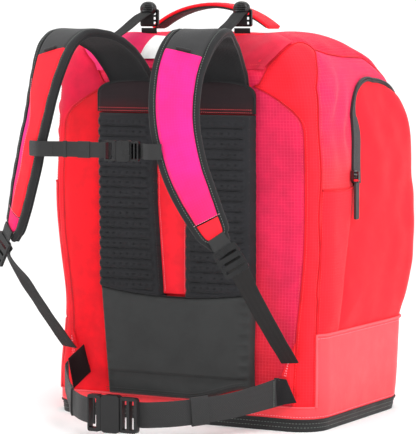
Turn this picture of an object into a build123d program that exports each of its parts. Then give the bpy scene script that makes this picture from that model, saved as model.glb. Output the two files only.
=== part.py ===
from build123d import *
import os
from math import cos, sin, radians

# Ski boot backpack. Millimetres, +Z up, the harness faces -Y, +X is the wearer's left.
# The origin is the middle of the base, on the ground.

# ---- driving dimensions ---------------------------------------------------------------
BASE_HALF_WIDTH = 205.0          # half of the bag's width at the ground
BACK_Y = -152.0                  # plane of the back panel
TOP_Z = 532.0                    # crown of the bag
REAR_RADIUS = 40.0               # plan radius of the two rear corners
FRONT_RADIUS = 62.0              # plan radius of the two front corners
WALL = 3.0                       # padded fabric wall
TRAY_HEIGHT = 16.0               # moulded rim around the base
BAND_TOP_Z = 130.0               # seam at the top of the coated lower band
REAR_BAND_TOP_Z = 33.0           # the same seam below the back panel
REAR_SEAM_Y = -112.0             # seam between rear panel and side walls
FRONT_SEAM_X = 168.0             # side walls wrap the front corners up to this seam
TOP_SEAM_Z = 500.0               # seam under the top panel, at the rear
TOP_SEAM_BEND_Y = 20.0           # where that seam starts to run down to the front

POCKET_TOP_Z = 326.0             # hem of the side pockets
POCKET_GAP = 3.6                 # room behind a side pocket's panel
POCKET_WALL = 1.6
POCKET_FRONT_TOP_Y = -51.0       # a side pocket's slanted front seam, at the hem
POCKET_FRONT_LOW_Y = -88.0       # and at its foot
DOOR_BOTTOM_Z = 331.0            # fold line of the side doors
DOOR_NEAR_Y = -54.0              # zip leg towards the back panel
DOOR_FAR_Y = 150.0               # zip leg on the front corner
DOOR_SHOULDER_Y = 22.0           # highest point of the side zip
DOOR_SHOULDER_Z = 468.0
DOOR_GAP = 1.2                   # slit between a door and the wall around it
MAIN_DOOR_HALF_WIDTH = 138.0     # door of the main compartment, on the front
MAIN_DOOR_BOTTOM_Z = 150.0
MAIN_DOOR_TOP_Z = 405.0
MAIN_DOOR_RADIUS = 60.0
TAPE_WIDTH = 5.5                 # one half of a zip
TAPE_THICK = 1.2

PAD_THICK = 20.0
PAD_HALF_WIDTH = 117.0
CHANNEL_TOP_HALF = 29.0
CHANNEL_BOTTOM_HALF = 20.0
PAD_BOTTOM_Z = 186.0
PAD_TOP_Z = 424.0
LUMBAR_BOTTOM_Z = 34.0
YOKE_TOP_Z = 470.0

LOCK_HEIGHT = 38.0               # moulded ladder locks at the ends of the shoulder straps
LOCK_LIFT = 8.0                  # from the strap's centre line to the lock's middle
SLOT_HEIGHT = 3.6

CHEST_WEBBING = 20.0
LOWER_WEBBING = 25.0
HIP_WEBBING = 38.0
CHEST_Z = 385.0
CHEST_Y = -374.0
HIP_BUCKLE = Vector(0, -332, 37)
HANDLE_Y = -50.0
HANDLE_HALF_SPAN = 92.0
HANDLE_WIDTH = 38.0
HANDLE_PIVOT_Z = 545.0
PULL_PIVOT = 6.7                 # a pull's hinge line, above the slider's back

# Level, half width, front face, rear face and share of the corner radii of the bag's plan.
LEVELS = [
    (0, BASE_HALF_WIDTH, 148, BACK_Y, 1.0),
    (TRAY_HEIGHT, BASE_HALF_WIDTH + 2, 150, BACK_Y, 1.0),
    (BAND_TOP_Z, 210, 160, BACK_Y, 1.0),
    (230, 213, 172, BACK_Y, 1.0),
    (320, 214, 177, BACK_Y, 1.0),
    (380, 213, 171, BACK_Y, 1.0),
    (430, 210, 150, BACK_Y, 1.0),
    (470, 204, 116, BACK_Y, 1.0),
    (500, 192, 74, BACK_Y + 3, 0.95),
    (520, 172, 34, BACK_Y + 12, 0.9),
    (TOP_Z, 140, -6, BACK_Y + 34, 0.8),
]


def save(shape, node):
    export_step(shape, f"parts/{node}.step")


def save_pair(shape, node):
    """Write a piece of the +X side and its mirror image."""
    save(shape, "right_" + node)
    save(mirror(shape, about=Plane.YZ), "left_" + node)


def block(x0, x1, y0, y1, z0, z1):
    """A box from its low and high corners."""
    centre = Pos((x0 + x1) / 2, (y0 + y1) / 2, (z0 + z1) / 2)
    return centre * Box(x1 - x0, y1 - y0, z1 - z0)


# ---- the bag's body -------------------------------------------------------------------
def plan_section(level, inset):
    z, half, front, rear, share = level
    x, y0, y1 = half - inset, rear + inset, front - inset
    height = z + inset * (1 - 2 * z / TOP_Z)
    sketch = make_face(Polyline((-x, y0), (x, y0), (x, y1), (-x, y1), close=True))
    rear_corners = sketch.vertices().group_by(Axis.Y)[0]
    sketch = fillet(rear_corners, max(REAR_RADIUS * share - inset, 5))
    front_corners = sketch.vertices().group_by(Axis.Y)[-1]
    sketch = fillet(front_corners, max(FRONT_RADIUS * share - inset, 5))
    return Pos(0, 0, height) * sketch


def body_solid(inset=0.0):
    """The bag's outer shape, moved inwards by inset."""
    return loft([plan_section(level, inset) for level in LEVELS])


def prism_x(outline, x0, x1):
    """Extrude a (y, z) outline between two x planes."""
    face = Plane.YZ * make_face(outline)
    return Pos(x0, 0, 0) * extrude(face, x1 - x0)


def prism_y(outline, y0, y1):
    """Extrude an (x, z) outline between two y planes."""
    face = Plane.XZ * make_face(outline)
    return Pos(0, y1, 0) * extrude(face, y1 - y0)


def region_below_top_seam(y0, y1):
    """Everything between two y planes that lies under the top panel's seam."""
    outline = Polyline((y0, BAND_TOP_Z), (y0, TOP_SEAM_Z), (TOP_SEAM_BEND_Y, TOP_SEAM_Z),
                       (107, 456), (160, 432), (y1, 432), (y1, BAND_TOP_Z), close=True)
    return prism_x(outline, -300, 300)


def arch_prism(grow, x0, x1):
    """Arched region of a side door seen in (y, z), made larger by grow."""
    near, far, low = DOOR_NEAR_Y - grow, DOOR_FAR_Y + grow, DOOR_BOTTOM_Z - grow
    top = DOOR_SHOULDER_Z + grow
    slant = 0.7 * grow
    outline = [
        Line((near, low), (near, 424)),
        ThreePointArc((near, 424), (near + 22 + 0.3 * grow, top - 11 - 0.2 * grow), (DOOR_SHOULDER_Y, top)),
        ThreePointArc((DOOR_SHOULDER_Y, top), (68, 461 + grow), (107 + slant, 443 + slant)),
        ThreePointArc((107 + slant, 443 + slant), (138 + slant, 418 + slant), (far, 385)),
        Line((far, 385), (far, low)),
        Line((far, low), (near, low)),
    ]
    return prism_x(outline, x0, x1)


def main_door_prism(grow):
    """Region of the front door, made larger by grow; only the part of it at the bag's front."""
    half = MAIN_DOOR_HALF_WIDTH + grow
    low, top = MAIN_DOOR_BOTTOM_Z - grow, MAIN_DOOR_TOP_Z + grow
    sketch = make_face(Polyline((-half, low), (half, low), (half, top), (-half, top), close=True))
    sketch = fillet(sketch.vertices().group_by(Axis.Y)[-1], MAIN_DOOR_RADIUS + grow)
    return Pos(0, 300, 0) * extrude(Plane.XZ * sketch, 300 - 110)


def make_shell(outer, inner):
    shell = outer - inner
    above_band = block(-300, 300, -300, 300, BAND_TOP_Z, 700)
    rear = block(-300, 300, -300, REAR_SEAM_Y, REAR_BAND_TOP_Z, TOP_SEAM_Z)
    band_height = block(-300, 300, -300, 300, TRAY_HEIGHT, BAND_TOP_Z)
    save((shell & band_height) - rear, "lower_band")
    save(shell & rear, "rear_wall")
    save(shell & above_band - region_below_top_seam(-300, 300), "top_panel")
    walls = shell & region_below_top_seam(REAR_SEAM_Y, 300)
    front = walls & block(-FRONT_SEAM_X, FRONT_SEAM_X, 60, 300, BAND_TOP_Z, 700)
    save(front - main_door_prism(0), "front_wall")
    side = walls & block(FRONT_SEAM_X, 300, REAR_SEAM_Y, 300, BAND_TOP_Z, 700)
    save_pair(side - arch_prism(0, 100, 300), "side_wall")
    return shell


def make_doors(shell, outer, skin):
    """The zipped doors and, on the skin of the bag, the two halves of each zip."""
    tape = skin - outer
    door_area = arch_prism(-DOOR_GAP, 100, 300)
    save_pair(shell & door_area, "boot_door")
    near_sill = block(0, 300, -300, 300, DOOR_BOTTOM_Z - 20, DOOR_BOTTOM_Z + TAPE_WIDTH + DOOR_GAP)
    save_pair(tape & (door_area - arch_prism(-DOOR_GAP - TAPE_WIDTH, 90, 310) - near_sill), "door_zip")
    under_sill = block(0, 300, -300, 300, DOOR_BOTTOM_Z - 20, DOOR_BOTTOM_Z)
    save_pair(tape & (arch_prism(TAPE_WIDTH, 100, 300) - arch_prism(0, 90, 310) - under_sill), "zip_tape")
    main_area = main_door_prism(-DOOR_GAP)
    save(shell & main_area, "main_door")
    sill = MAIN_DOOR_BOTTOM_Z + TAPE_WIDTH + DOOR_GAP
    above_sill = block(-300, 300, 100, 300, sill, 700)
    save(tape & (main_area - main_door_prism(-DOOR_GAP - TAPE_WIDTH)) & above_sill, "main_door_zip")
    above_fold = block(-300, 300, 100, 300, MAIN_DOOR_BOTTOM_Z, 700)
    save(tape & (main_door_prism(TAPE_WIDTH) - main_door_prism(0)) & above_fold, "main_zip_tape")


def make_base(outer):
    rim = outer & block(-300, 300, -300, 300, 0, TRAY_HEIGHT)
    well = body_solid(WALL + 1) & block(-300, 300, -300, 300, WALL, TRAY_HEIGHT + 1)
    save(rim - well, "base_tray")


def pocket_prism(margin, top_z):
    """A side pocket's outline in (y, z), drawn in by margin on its three sewn edges."""
    low = BAND_TOP_Z + 1 + margin
    outline = Polyline((REAR_SEAM_Y + margin, low), (POCKET_FRONT_LOW_Y - margin, low),
                       (POCKET_FRONT_TOP_Y - margin, top_z), (REAR_SEAM_Y + margin, top_z), close=True)
    return prism_x(outline, 100, 300)


def make_pockets(outer):
    """Side pockets: a panel that stands off the side wall and is closed along three edges."""
    panel = (body_solid(-POCKET_GAP - POCKET_WALL) & pocket_prism(0, POCKET_TOP_Z)) - outer
    save_pair(panel - (body_solid(-POCKET_GAP) & pocket_prism(2, POCKET_TOP_Z + 1)), "side_pocket")


def make_flap_and_label(outer):
    """The loose flap over the top of the back panel and the blank label on it."""
    flap_area = block(-127, 127, -220, -104, 486, 540)
    flap_skin = body_solid(-2.2)
    save((flap_skin - outer) & flap_area, "rear_flap")
    label_area = block(-62, -30, -220, -120, 497, 526)
    save((body_solid(-3.0) - flap_skin) & label_area, "blank_label")


def make_inner_frame():
    sheet = block(-150, 150, BACK_Y + WALL + 0.2, BACK_Y + WALL + 2.2, 24, 470)
    save(sheet, "frame_sheet")
    stay_y = BACK_Y + WALL + 2.2
    stays = [block(s * 60 - 10, s * 60 + 10, stay_y, stay_y + 3, 40, 462) for s in (-1, 1)]
    save(Compound(children=stays), "frame_stays")
    save_pair(block(75, 77, -142, 138, WALL + 1.2, 392), "boot_divider")


# ---- the back panel's padding ---------------------------------------------------------
def make_back_padding():
    rear = BACK_Y - 0.3
    front = rear - PAD_THICK
    half = Polyline((CHANNEL_BOTTOM_HALF, PAD_BOTTOM_Z), (PAD_HALF_WIDTH - 1, PAD_BOTTOM_Z),
                    (PAD_HALF_WIDTH, PAD_TOP_Z), (CHANNEL_TOP_HALF, PAD_TOP_Z), close=True)
    pad = prism_y(half, front, rear)
    save_pair(fillet(pad.edges().filter_by_position(Axis.Y, front - 1, front + 1), 6), "back_pad")
    strip = Polyline((-CHANNEL_BOTTOM_HALF + 1, PAD_BOTTOM_Z), (CHANNEL_BOTTOM_HALF - 1, PAD_BOTTOM_Z),
                     (CHANNEL_TOP_HALF - 1, PAD_TOP_Z), (1 - CHANNEL_TOP_HALF, PAD_TOP_Z), close=True)
    save(prism_y(strip, rear - 6, rear), "spine_channel")
    lumbar = Polyline((-111, LUMBAR_BOTTOM_Z), (111, LUMBAR_BOTTOM_Z), (PAD_HALF_WIDTH - 1, PAD_BOTTOM_Z - 1),
                      (1 - PAD_HALF_WIDTH, PAD_BOTTOM_Z - 1), close=True)
    lumbar = prism_y(lumbar, front, rear)
    save(fillet(lumbar.edges().filter_by_position(Axis.Y, front - 1, front + 1), 6), "lumbar_pad")
    yoke = Polyline((-117, PAD_TOP_Z + 1), (117, PAD_TOP_Z + 1), (118, 452), (104, 464), (60, YOKE_TOP_Z),
                    (-60, YOKE_TOP_Z), (-104, 464), (-118, 452), close=True)
    save(prism_y(yoke, rear - 10, rear), "yoke_panel")


# ---- webbing and padded straps --------------------------------------------------------
def heading(degrees, tilt=0.0):
    """Unit vector across a band, turned about +Z and raised by tilt."""
    a, t = radians(degrees), radians(tilt)
    return Vector(cos(a) * cos(t), sin(a) * cos(t), sin(t))


def band(points, across, widths, thick):
    """A flat band through points: ruled between cross-sections."""
    points = [Vector(*p) for p in points]
    wires = []
    for i, point in enumerate(points):
        before, after = points[max(i - 1, 0)], points[min(i + 1, len(points) - 1)]
        along = (after - before).normalized()
        side = (across[i] - along * across[i].dot(along)).normalized()
        half_side = side * (widths[i] / 2)
        half_thick = along.cross(side).normalized() * (thick / 2)
        corners = [point - half_side - half_thick, point + half_side - half_thick,
                   point + half_side + half_thick, point - half_side + half_thick]
        wires.append(Wire.make_polygon(corners, close=True))
    return Solid.make_loft(wires, ruled=True)


# Centre line, turn of the width direction and width of the +X shoulder strap.
SHOULDER = [
    ((72, -168, 460), 0, 66), ((74, -177, 482), 0, 68), ((79, -196, 508), 2, 70),
    ((86, -222, 526), 5, 71), ((93, -250, 535), 9, 72), ((98, -280, 533), 14, 72),
    ((99, -308, 517), 19, 70), ((98, -330, 488), 24, 68), ((100, -344, 454), 28, 66),
    ((104, -351, 420), 30, 64), ((111, -353, 390), 30, 62), ((119, -351, 360), 30, 60),
    ((129, -346, 332), 31, 57), ((140, -339, 304), 32, 51), ((150, -333, 281), 32, 44),
    ((154, -331, 273), 32, 27), ((161, -327, 262), 32, 26),
]
STRAP_THICK = 9.0
LOCK_TOP = Vector(161.5, -327, 262)
LOCK_ALONG = Vector(0.50, 0.15, -0.85).normalized()
LOCK_ACROSS = heading(26)


def make_shoulder_straps():
    points = [p for p, turn, width in SHOULDER]
    across = [heading(turn) for p, turn, width in SHOULDER]
    widths = [width for p, turn, width in SHOULDER]
    save_pair(band(points, across, widths, STRAP_THICK), "shoulder_strap")


def lock_plane():
    """Plane of a lower ladder lock: x across it, y up the strap, z away from the bag."""
    side = (LOCK_ACROSS - LOCK_ALONG * LOCK_ACROSS.dot(LOCK_ALONG)).normalized()
    return Plane(origin=LOCK_TOP, x_dir=side, z_dir=LOCK_ALONG.cross(side))


def ladder_lock(width, height):
    """Moulded frame with three slots, in its own plane, lower edge on the x axis."""
    frame = Pos(0, height / 2, 0) * Box(width, height, 4)
    frame = fillet(frame.edges().filter_by(Axis.Z), 3)
    for share in (0.2, 0.47, 0.74):
        frame -= Pos(0, height * share, 0) * Box(width - 7, SLOT_HEIGHT, 6)
    return frame


def make_lower_locks():
    plane = lock_plane()
    save_pair(plane * (Pos(0, -LOCK_HEIGHT, LOCK_LIFT) * ladder_lock(34, LOCK_HEIGHT)), "ladder_lock")
    top = LOCK_TOP + LOCK_ALONG * 8 + Vector(0, 1.5, 0)
    bend = LOCK_TOP + LOCK_ALONG * 24 + Vector(0, 6, 0)
    end = Vector(177, -162.5, 97)
    points = [tuple(top), tuple(bend), tuple((bend + end) * 0.5 + Vector(0, 0, -3)), tuple(end)]
    across = [plane.x_dir, plane.x_dir, heading(18), heading(12)]
    save_pair(band(points, across, [LOWER_WEBBING] * 4, 1.6), "lower_webbing")


def make_corner_tabs():
    """Triangular reinforcement that the lower webbing is sewn under."""
    corner = Polyline((168, 85), (186, 128), (196, 128), (196, 42), (184, 42), close=True)
    save_pair(prism_y(corner, BACK_Y - 6, BACK_Y + 3) - body_solid(-0.2), "corner_tab")


def make_load_lifters():
    """Short webbing from behind each shoulder strap's crest to a lock on the bag's top edge."""
    points = [(81, -201, 519.3), (79, -178, 531), (77, -148, 543.5), (74, -116, 554)]
    save_pair(band(points, [heading(8)] * 4, [CHEST_WEBBING] * 4, 1.6), "load_lifter")
    anchor = block(61, 85, -111, -103, 527, 541.5) - body_solid(-2.4)
    anchors = [anchor, mirror(anchor, about=Plane.YZ)]
    save(Compound(children=anchors), "load_lifter_anchors")
    frame = ladder_lock(28, 24)
    thumb = Pos(0, 25, 0) * Cylinder(9, 4)
    plane = Plane(origin=(73, -107, 542.5), x_dir=(1, 0, 0), z_dir=(0, -1, 0))
    save_pair(plane * (frame + thumb), "lifter_lock")


# ---- hip belt and chest strap ---------------------------------------------------------
HIP_BELT = [(164, -170, 57), (148, -198, 55), (124, -240, 51), (99, -275, 48),
            (72, -302, 43), (48, -318, 39), (33, -324, 37)]


def make_hip_belt():
    up = [Vector(0, 0, 1)] * len(HIP_BELT)
    belt = band(HIP_BELT, up, [HIP_WEBBING] * len(HIP_BELT), 2.4)
    save_pair(belt, "hip_belt")
    wing = band([(190, -161.5, 52), (180, -164, 54), (160, -176, 57)], up[:3], [34, 42, 46], 5)
    save_pair(wing - belt, "hip_wing")
    keeper_path = [(105, -267, 49), (93, -283, 47)]
    keeper = band(keeper_path, up[:2], [44, 44], 5.2) - band(keeper_path, up[:2], [38.4, 38.4], 2.8)
    keeper = keeper - belt
    save(Compound(children=[keeper, mirror(keeper, about=Plane.YZ)]), "hip_belt_keepers")


def buckle_socket(length, height, thick, frame_length):
    """Female half: mouth on the -X side, windows above and below, webbing frame at +X."""
    shell = Pos(length / 2, 0, 0) * Box(length, thick, height)
    shell = fillet(shell.edges().filter_by(Axis.Y), height * 0.12)
    shell -= Pos(length / 2 - 3, 0, 0) * Box(length - 4, thick - 3.2, height * 0.72)
    shell -= Pos(length * 0.48, 0, 0) * Box(length * 0.44, thick - 3.2, height * 1.2)
    frame = Pos(length + frame_length / 2 - 1, 0, 0) * Box(frame_length + 2, thick * 0.7, height * 0.94)
    frame = fillet(frame.edges().filter_by(Axis.Y), height * 0.1)
    slot = frame_length * 0.26
    frame -= Pos(length + frame_length * 0.28, 0, 0) * Box(slot, thick, height * 0.76)
    frame -= Pos(length + frame_length * 0.7, 0, 0) * Box(slot, thick, height * 0.76)
    return shell + frame


def buckle_plug(length, reach, height, thick, webbing):
    """Male half: V shoulder, tongue and two squeeze arms at +X, webbing frame at -X."""
    gap = 0.5
    rail = (height - webbing - 2) / 2
    shoulder = Pos(-length * 0.16, 0, 0) * Box(length * 0.32, thick, height * 0.94)
    body = shoulder
    for side in (-1, 1):
        body += Pos(-length * 0.6, 0, side * (height - rail) / 2 * 0.98) * Box(length * 0.8, thick, rail)
    body += Pos(-length * 0.94, 0, 0) * Box(length * 0.12, thick, height * 0.96)
    body = fillet(body.edges().filter_by(Axis.Y).group_by(Axis.X)[0], height * 0.06)
    tongue_thick = thick - 3.2 - 2 * gap
    body += Pos(reach / 2, 0, 0) * Box(reach, tongue_thick, height * 0.14)
    for side in (-1, 1):
        arm = Pos(reach * 0.42, 0, side * height * 0.27) * Box(reach * 0.84, tongue_thick, height * 0.1)
        body += arm
        body += Pos(reach * 0.6, 0, side * height * 0.3) * Box(reach * 0.4, tongue_thick, height * 0.09)
    return body


def make_hip_buckle():
    place = Pos(HIP_BUCKLE.X - 16, HIP_BUCKLE.Y, HIP_BUCKLE.Z)
    save(place * buckle_socket(28, 50, 11, 26), "hip_buckle_socket")
    save(place * Pos(-0.4, 0, 0) * buckle_plug(20, 22, 50, 11, HIP_WEBBING), "hip_buckle_plug")


def make_chest_strap():
    place = Pos(33, CHEST_Y, CHEST_Z)
    save(place * buckle_socket(20, 27, 8, 12), "chest_buckle_socket")
    save(place * Pos(-0.4, 0, 0) * buckle_plug(17, 14, 27, 8, CHEST_WEBBING), "chest_buckle_plug")
    behind = CHEST_Y + 4.0
    over_strap = [(76, CHEST_Y - 2.8), (83, CHEST_Y - 4.8), (90, CHEST_Y - 2.6), (110, CHEST_Y + 10)]
    right = [(55, behind, CHEST_Z), (66, behind, CHEST_Z)] + [(x, y, CHEST_Z) for x, y in over_strap]
    left = [(19, behind + 2.2, CHEST_Z), (-44, behind + 2, CHEST_Z)]
    left += [(-x, y, CHEST_Z) for x, y in over_strap]
    for points, node in ((right, "right_chest_webbing"), (left, "left_chest_webbing")):
        count = len(points)
        save(band(points, [Vector(0, 0, 1)] * count, [CHEST_WEBBING] * count, 1.8), node)


# ---- handle, zip sliders and pulls ----------------------------------------------------
def make_handle():
    """Padded grip band, arched between its two sewn ends."""
    span, low = HANDLE_HALF_SPAN, HANDLE_PIVOT_Z
    outer = ThreePointArc((-span, low - 2), (0, 576), (span, low - 2))
    inner = ThreePointArc((span - 8, low - 4), (0, 567), (8 - span, low - 4))
    outline = [outer, Line((span, low - 2), (span - 8, low - 4)), inner,
               Line((8 - span, low - 4), (-span, low - 2))]
    y0, y1 = HANDLE_Y - HANDLE_WIDTH / 2, HANDLE_Y + HANDLE_WIDTH / 2
    save(prism_y(outline, y0, y1), "carry_handle")


def zip_slider():
    """Slider body with a raised bridge, long side on z, its back on x = 0."""
    body = Pos(2.5, 0, 0) * Box(5, 9.5, 15)
    body = fillet(body.edges().filter_by(Axis.X), 2)
    bridge = Pos(7.6, 0, 0) * Box(5.4, 3, 12) - Pos(PULL_PIVOT, 0, 0) * Box(3.4, 4, 6)
    return body + bridge


def zip_pull():
    """Moulded pull: an eye around the slider's bridge and a long tab that hangs from it."""
    eye = Pos(PULL_PIVOT, 0, 0) * Box(2, 8.4, 2)
    for side in (-1, 1):
        eye += Pos(PULL_PIVOT, side * 3.4, -4.5) * Box(2, 1.8, 11)
    tab = Pos(PULL_PIVOT, 0, -34) * Box(3.2, 10.6, 50)
    tab = fillet(tab.edges().filter_by(Axis.X), 3)
    return eye + tab


def make_sliders():
    side_place = Pos(216, DOOR_NEAR_Y - 6, DOOR_BOTTOM_Z + 10)
    save_pair(side_place * zip_slider(), "zip_slider")
    save_pair(side_place * zip_pull(), "zip_pull")
    main_place = Pos(MAIN_DOOR_HALF_WIDTH + 6, 171.6, MAIN_DOOR_BOTTOM_Z + 40) * Rot(0, 0, 90)
    save(main_place * zip_slider(), "main_zip_slider")
    save(main_place * zip_pull(), "main_zip_pull")


def main():
    os.makedirs("parts", exist_ok=True)
    outer = body_solid()
    inner = body_solid(WALL)
    skin = body_solid(-TAPE_THICK)
    make_base(outer)
    shell = make_shell(outer, inner)
    make_doors(shell, outer, skin)
    make_pockets(outer)
    make_flap_and_label(outer)
    make_inner_frame()
    make_back_padding()
    make_shoulder_straps()
    make_lower_locks()
    make_corner_tabs()
    make_load_lifters()
    make_hip_belt()
    make_hip_buckle()
    make_chest_strap()
    make_handle()
    make_sliders()


main()
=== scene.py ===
import math

import bpy
import numpy as np
from mathutils import Vector, Matrix
from mathutils.geometry import delaunay_2d_cdt


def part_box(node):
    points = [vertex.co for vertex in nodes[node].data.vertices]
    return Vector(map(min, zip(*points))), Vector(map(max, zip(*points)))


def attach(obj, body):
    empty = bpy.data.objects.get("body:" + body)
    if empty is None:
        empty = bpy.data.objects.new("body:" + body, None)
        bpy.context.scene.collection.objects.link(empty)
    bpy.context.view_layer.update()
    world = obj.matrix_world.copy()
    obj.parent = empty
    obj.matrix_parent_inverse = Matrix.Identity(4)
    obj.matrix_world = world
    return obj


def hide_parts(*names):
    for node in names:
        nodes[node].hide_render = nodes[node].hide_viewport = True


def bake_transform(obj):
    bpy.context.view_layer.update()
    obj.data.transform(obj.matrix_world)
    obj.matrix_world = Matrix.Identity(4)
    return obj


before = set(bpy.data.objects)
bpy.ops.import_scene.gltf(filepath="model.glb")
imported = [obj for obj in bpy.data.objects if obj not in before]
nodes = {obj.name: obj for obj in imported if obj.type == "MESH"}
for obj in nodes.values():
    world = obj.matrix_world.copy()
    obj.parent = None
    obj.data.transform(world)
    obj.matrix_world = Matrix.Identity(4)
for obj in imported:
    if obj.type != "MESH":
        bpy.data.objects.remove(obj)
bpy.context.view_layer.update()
MM = 0.001
PI = math.pi
SIDES = {1: "right_", -1: "left_"}


# ---- small numeric helpers --------------------------------------------------------------
def unit(v):
    v = np.asarray(v, float)
    return v / np.maximum(np.linalg.norm(v, axis=-1, keepdims=True), 1e-12)


def smooth(x, lo, hi):
    """0 below lo, 1 above hi, eased between."""
    t = np.clip((x - lo) / (hi - lo), 0, 1)
    return t * t * (3 - 2 * t)


def bump(x, centre, width):
    """Bell curve of height 1."""
    return np.exp(-((x - centre) / width) ** 2)


def noise(points, scale, seed=0):
    """Soft noise in -1..1 at points (n, 3), with features about scale mm across."""
    p = np.asarray(points, float) / scale
    rng = np.random.default_rng(100 + seed)
    total = np.zeros(p.shape[:-1])
    for _ in range(9):
        k = rng.normal(size=3)
        k *= rng.uniform(2.2, 4.4) / np.linalg.norm(k)
        total += np.sin(p @ k + rng.uniform(0, 6.28))
    return total / 4.2


def curve_through(points, count):
    """Catmull-Rom curve through points (n, k), sampled evenly along its length by the first three columns."""
    p = np.asarray(points, float)
    ext = np.vstack([2 * p[0] - p[1], p, 2 * p[-1] - p[-2]])
    out = []
    for i in range(1, len(ext) - 2):
        a, b, c, d = ext[i - 1], ext[i], ext[i + 1], ext[i + 2]
        t = np.linspace(0, 1, 24, endpoint=False)[:, None]
        out.append(0.5
                   * (2 * b + (c - a) * t + (2 * a - 5 * b + 4 * c - d) * t ** 2
                      + (3 * b - a - 3 * c + d) * t ** 3))
    out = np.vstack(out + [p[-1:]])
    return resample(out, count)


def resample(points, count):
    """count points evenly spaced along a polyline; columns after the third go with them."""
    points = np.asarray(points, float)
    steps = np.linalg.norm(np.diff(points[:, :3], axis=0), axis=1)
    s = np.concatenate([[0], np.cumsum(steps)])
    want = np.linspace(0, s[-1], count)
    return np.stack([np.interp(want, s, points[:, k]) for k in range(points.shape[1])], 1)


def length_along(points):
    steps = np.linalg.norm(np.diff(points, axis=0), axis=1)
    return np.concatenate([[0], np.cumsum(steps)])


# ---- meshes -------------------------------------------------------------------------------
def make_object(name, verts, faces, material, body="bag", uv=None):
    """Mesh object from points in mm; uv is one pair in mm for each vertex."""
    mesh = bpy.data.meshes.new(name)
    mesh.from_pydata([tuple(v) for v in np.asarray(verts, float) * MM], [], [tuple(f) for f in faces])
    mesh.validate()
    if uv is not None:
        layer = mesh.uv_layers.new(name="UVMap")
        index = np.zeros(len(mesh.loops), int)
        mesh.loops.foreach_get("vertex_index", index)
        layer.data.foreach_set("uv", (np.asarray(uv, float) * MM)[index].astype(np.float32).ravel())
    mesh.polygons.foreach_set("use_smooth", [True] * len(mesh.polygons))
    mesh.materials.append(material)
    obj = bpy.data.objects.new(name, mesh)
    bpy.context.scene.collection.objects.link(obj)
    if body:
        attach(obj, body)
    return obj


def sharpen(obj, degrees=40):
    """Hard shading at edges sharper than this."""
    obj.data.set_sharp_from_angle(angle=math.radians(degrees))
    return obj


def grid_faces(rows, cols, offset=0, wrap=False, flip=False):
    faces = []
    for i in range(rows - 1):
        for j in range(cols if wrap else cols - 1):
            k = (j + 1) % cols
            f = (offset + i * cols + j, offset + i * cols + k, offset + (i + 1) * cols + k,
                 offset + (i + 1) * cols + j)
            faces.append(f[::-1] if flip else f)
    return faces


def slab(name, front, back, uv, material, body="bag", angle=50):
    """Closed sheet between two point grids of the same size, (rows, cols, 3)."""
    rows, cols = front.shape[:2]
    n = rows * cols
    faces = grid_faces(rows, cols) + grid_faces(rows, cols, n, flip=True)
    rim = [(0, j) for j in range(cols)] + [(i, cols - 1) for i in range(1, rows)]
    rim += [(rows - 1, j) for j in range(cols - 2, -1, -1)] + [(i, 0) for i in range(rows - 2, 0, -1)]
    ids = [i * cols + j for i, j in rim]
    for a, b in zip(ids, ids[1:] + ids[:1]):
        faces.append((b, a, a + n, b + n))
    verts = np.vstack([front.reshape(-1, 3), back.reshape(-1, 3)])
    uvs = np.vstack([uv.reshape(-1, 2)] * 2)
    return sharpen(make_object(name, verts, faces, material, body, uvs), angle)


def frames_along(path):
    """Two unit normals at each point of a path, carried along it without twisting."""
    tangent = unit(np.gradient(path, axis=0))
    side = np.zeros_like(path)
    ref = np.array([0, 0, 1.0]) if abs(tangent[0][2]) < 0.9 else np.array([1.0, 0, 0])
    current = unit(np.cross(tangent[0], ref))
    for i, t in enumerate(tangent):
        current = unit(current - t * (current @ t))
        side[i] = current
    return side, np.cross(side, tangent)


def tube_data(path, radius, sides=8):
    """Points, faces and UV of a closed tube along a path."""
    path = np.asarray(path, float)
    side, other = frames_along(path)
    angle = np.linspace(0, 2 * PI, sides, endpoint=False)
    ring = side[:, None] * np.cos(angle)[None, :, None] + other[:, None] * np.sin(angle)[None, :, None]
    verts = path[:, None] + ring * radius
    n = len(path) * sides
    faces = grid_faces(len(path), sides, wrap=True)
    faces += [tuple(range(sides))[::-1], tuple(range(n - sides, n))]
    uv = pair(angle * 2.0, length_along(path)[:, None])
    return verts.reshape(-1, 3), faces, uv.reshape(-1, 2)


def pair(u, v):
    """UV grid from two arrays that broadcast to one another."""
    return np.stack(np.broadcast_arrays(u, v), -1)


def join_data(parts):
    """One mesh from several (points, faces, UV)."""
    verts, faces, uvs, count = [], [], [], 0
    for v, f, u in parts:
        verts.append(v)
        uvs.append(u)
        faces += [tuple(i + count for i in face) for face in f]
        count += len(v)
    return np.vstack(verts), faces, np.vstack(uvs)


def tubes(name, paths, radius, material, body="bag", sides=8):
    """One piece of round cord or piping for all the paths."""
    v, f, u = join_data([tube_data(p, radius, sides) for p in paths])
    return make_object(name, v, f, material, body, u)


# Reference direction from which the two sides of a stitch are found.
STITCH_UP = np.array([0.13, 0.2, 0.97])


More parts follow.
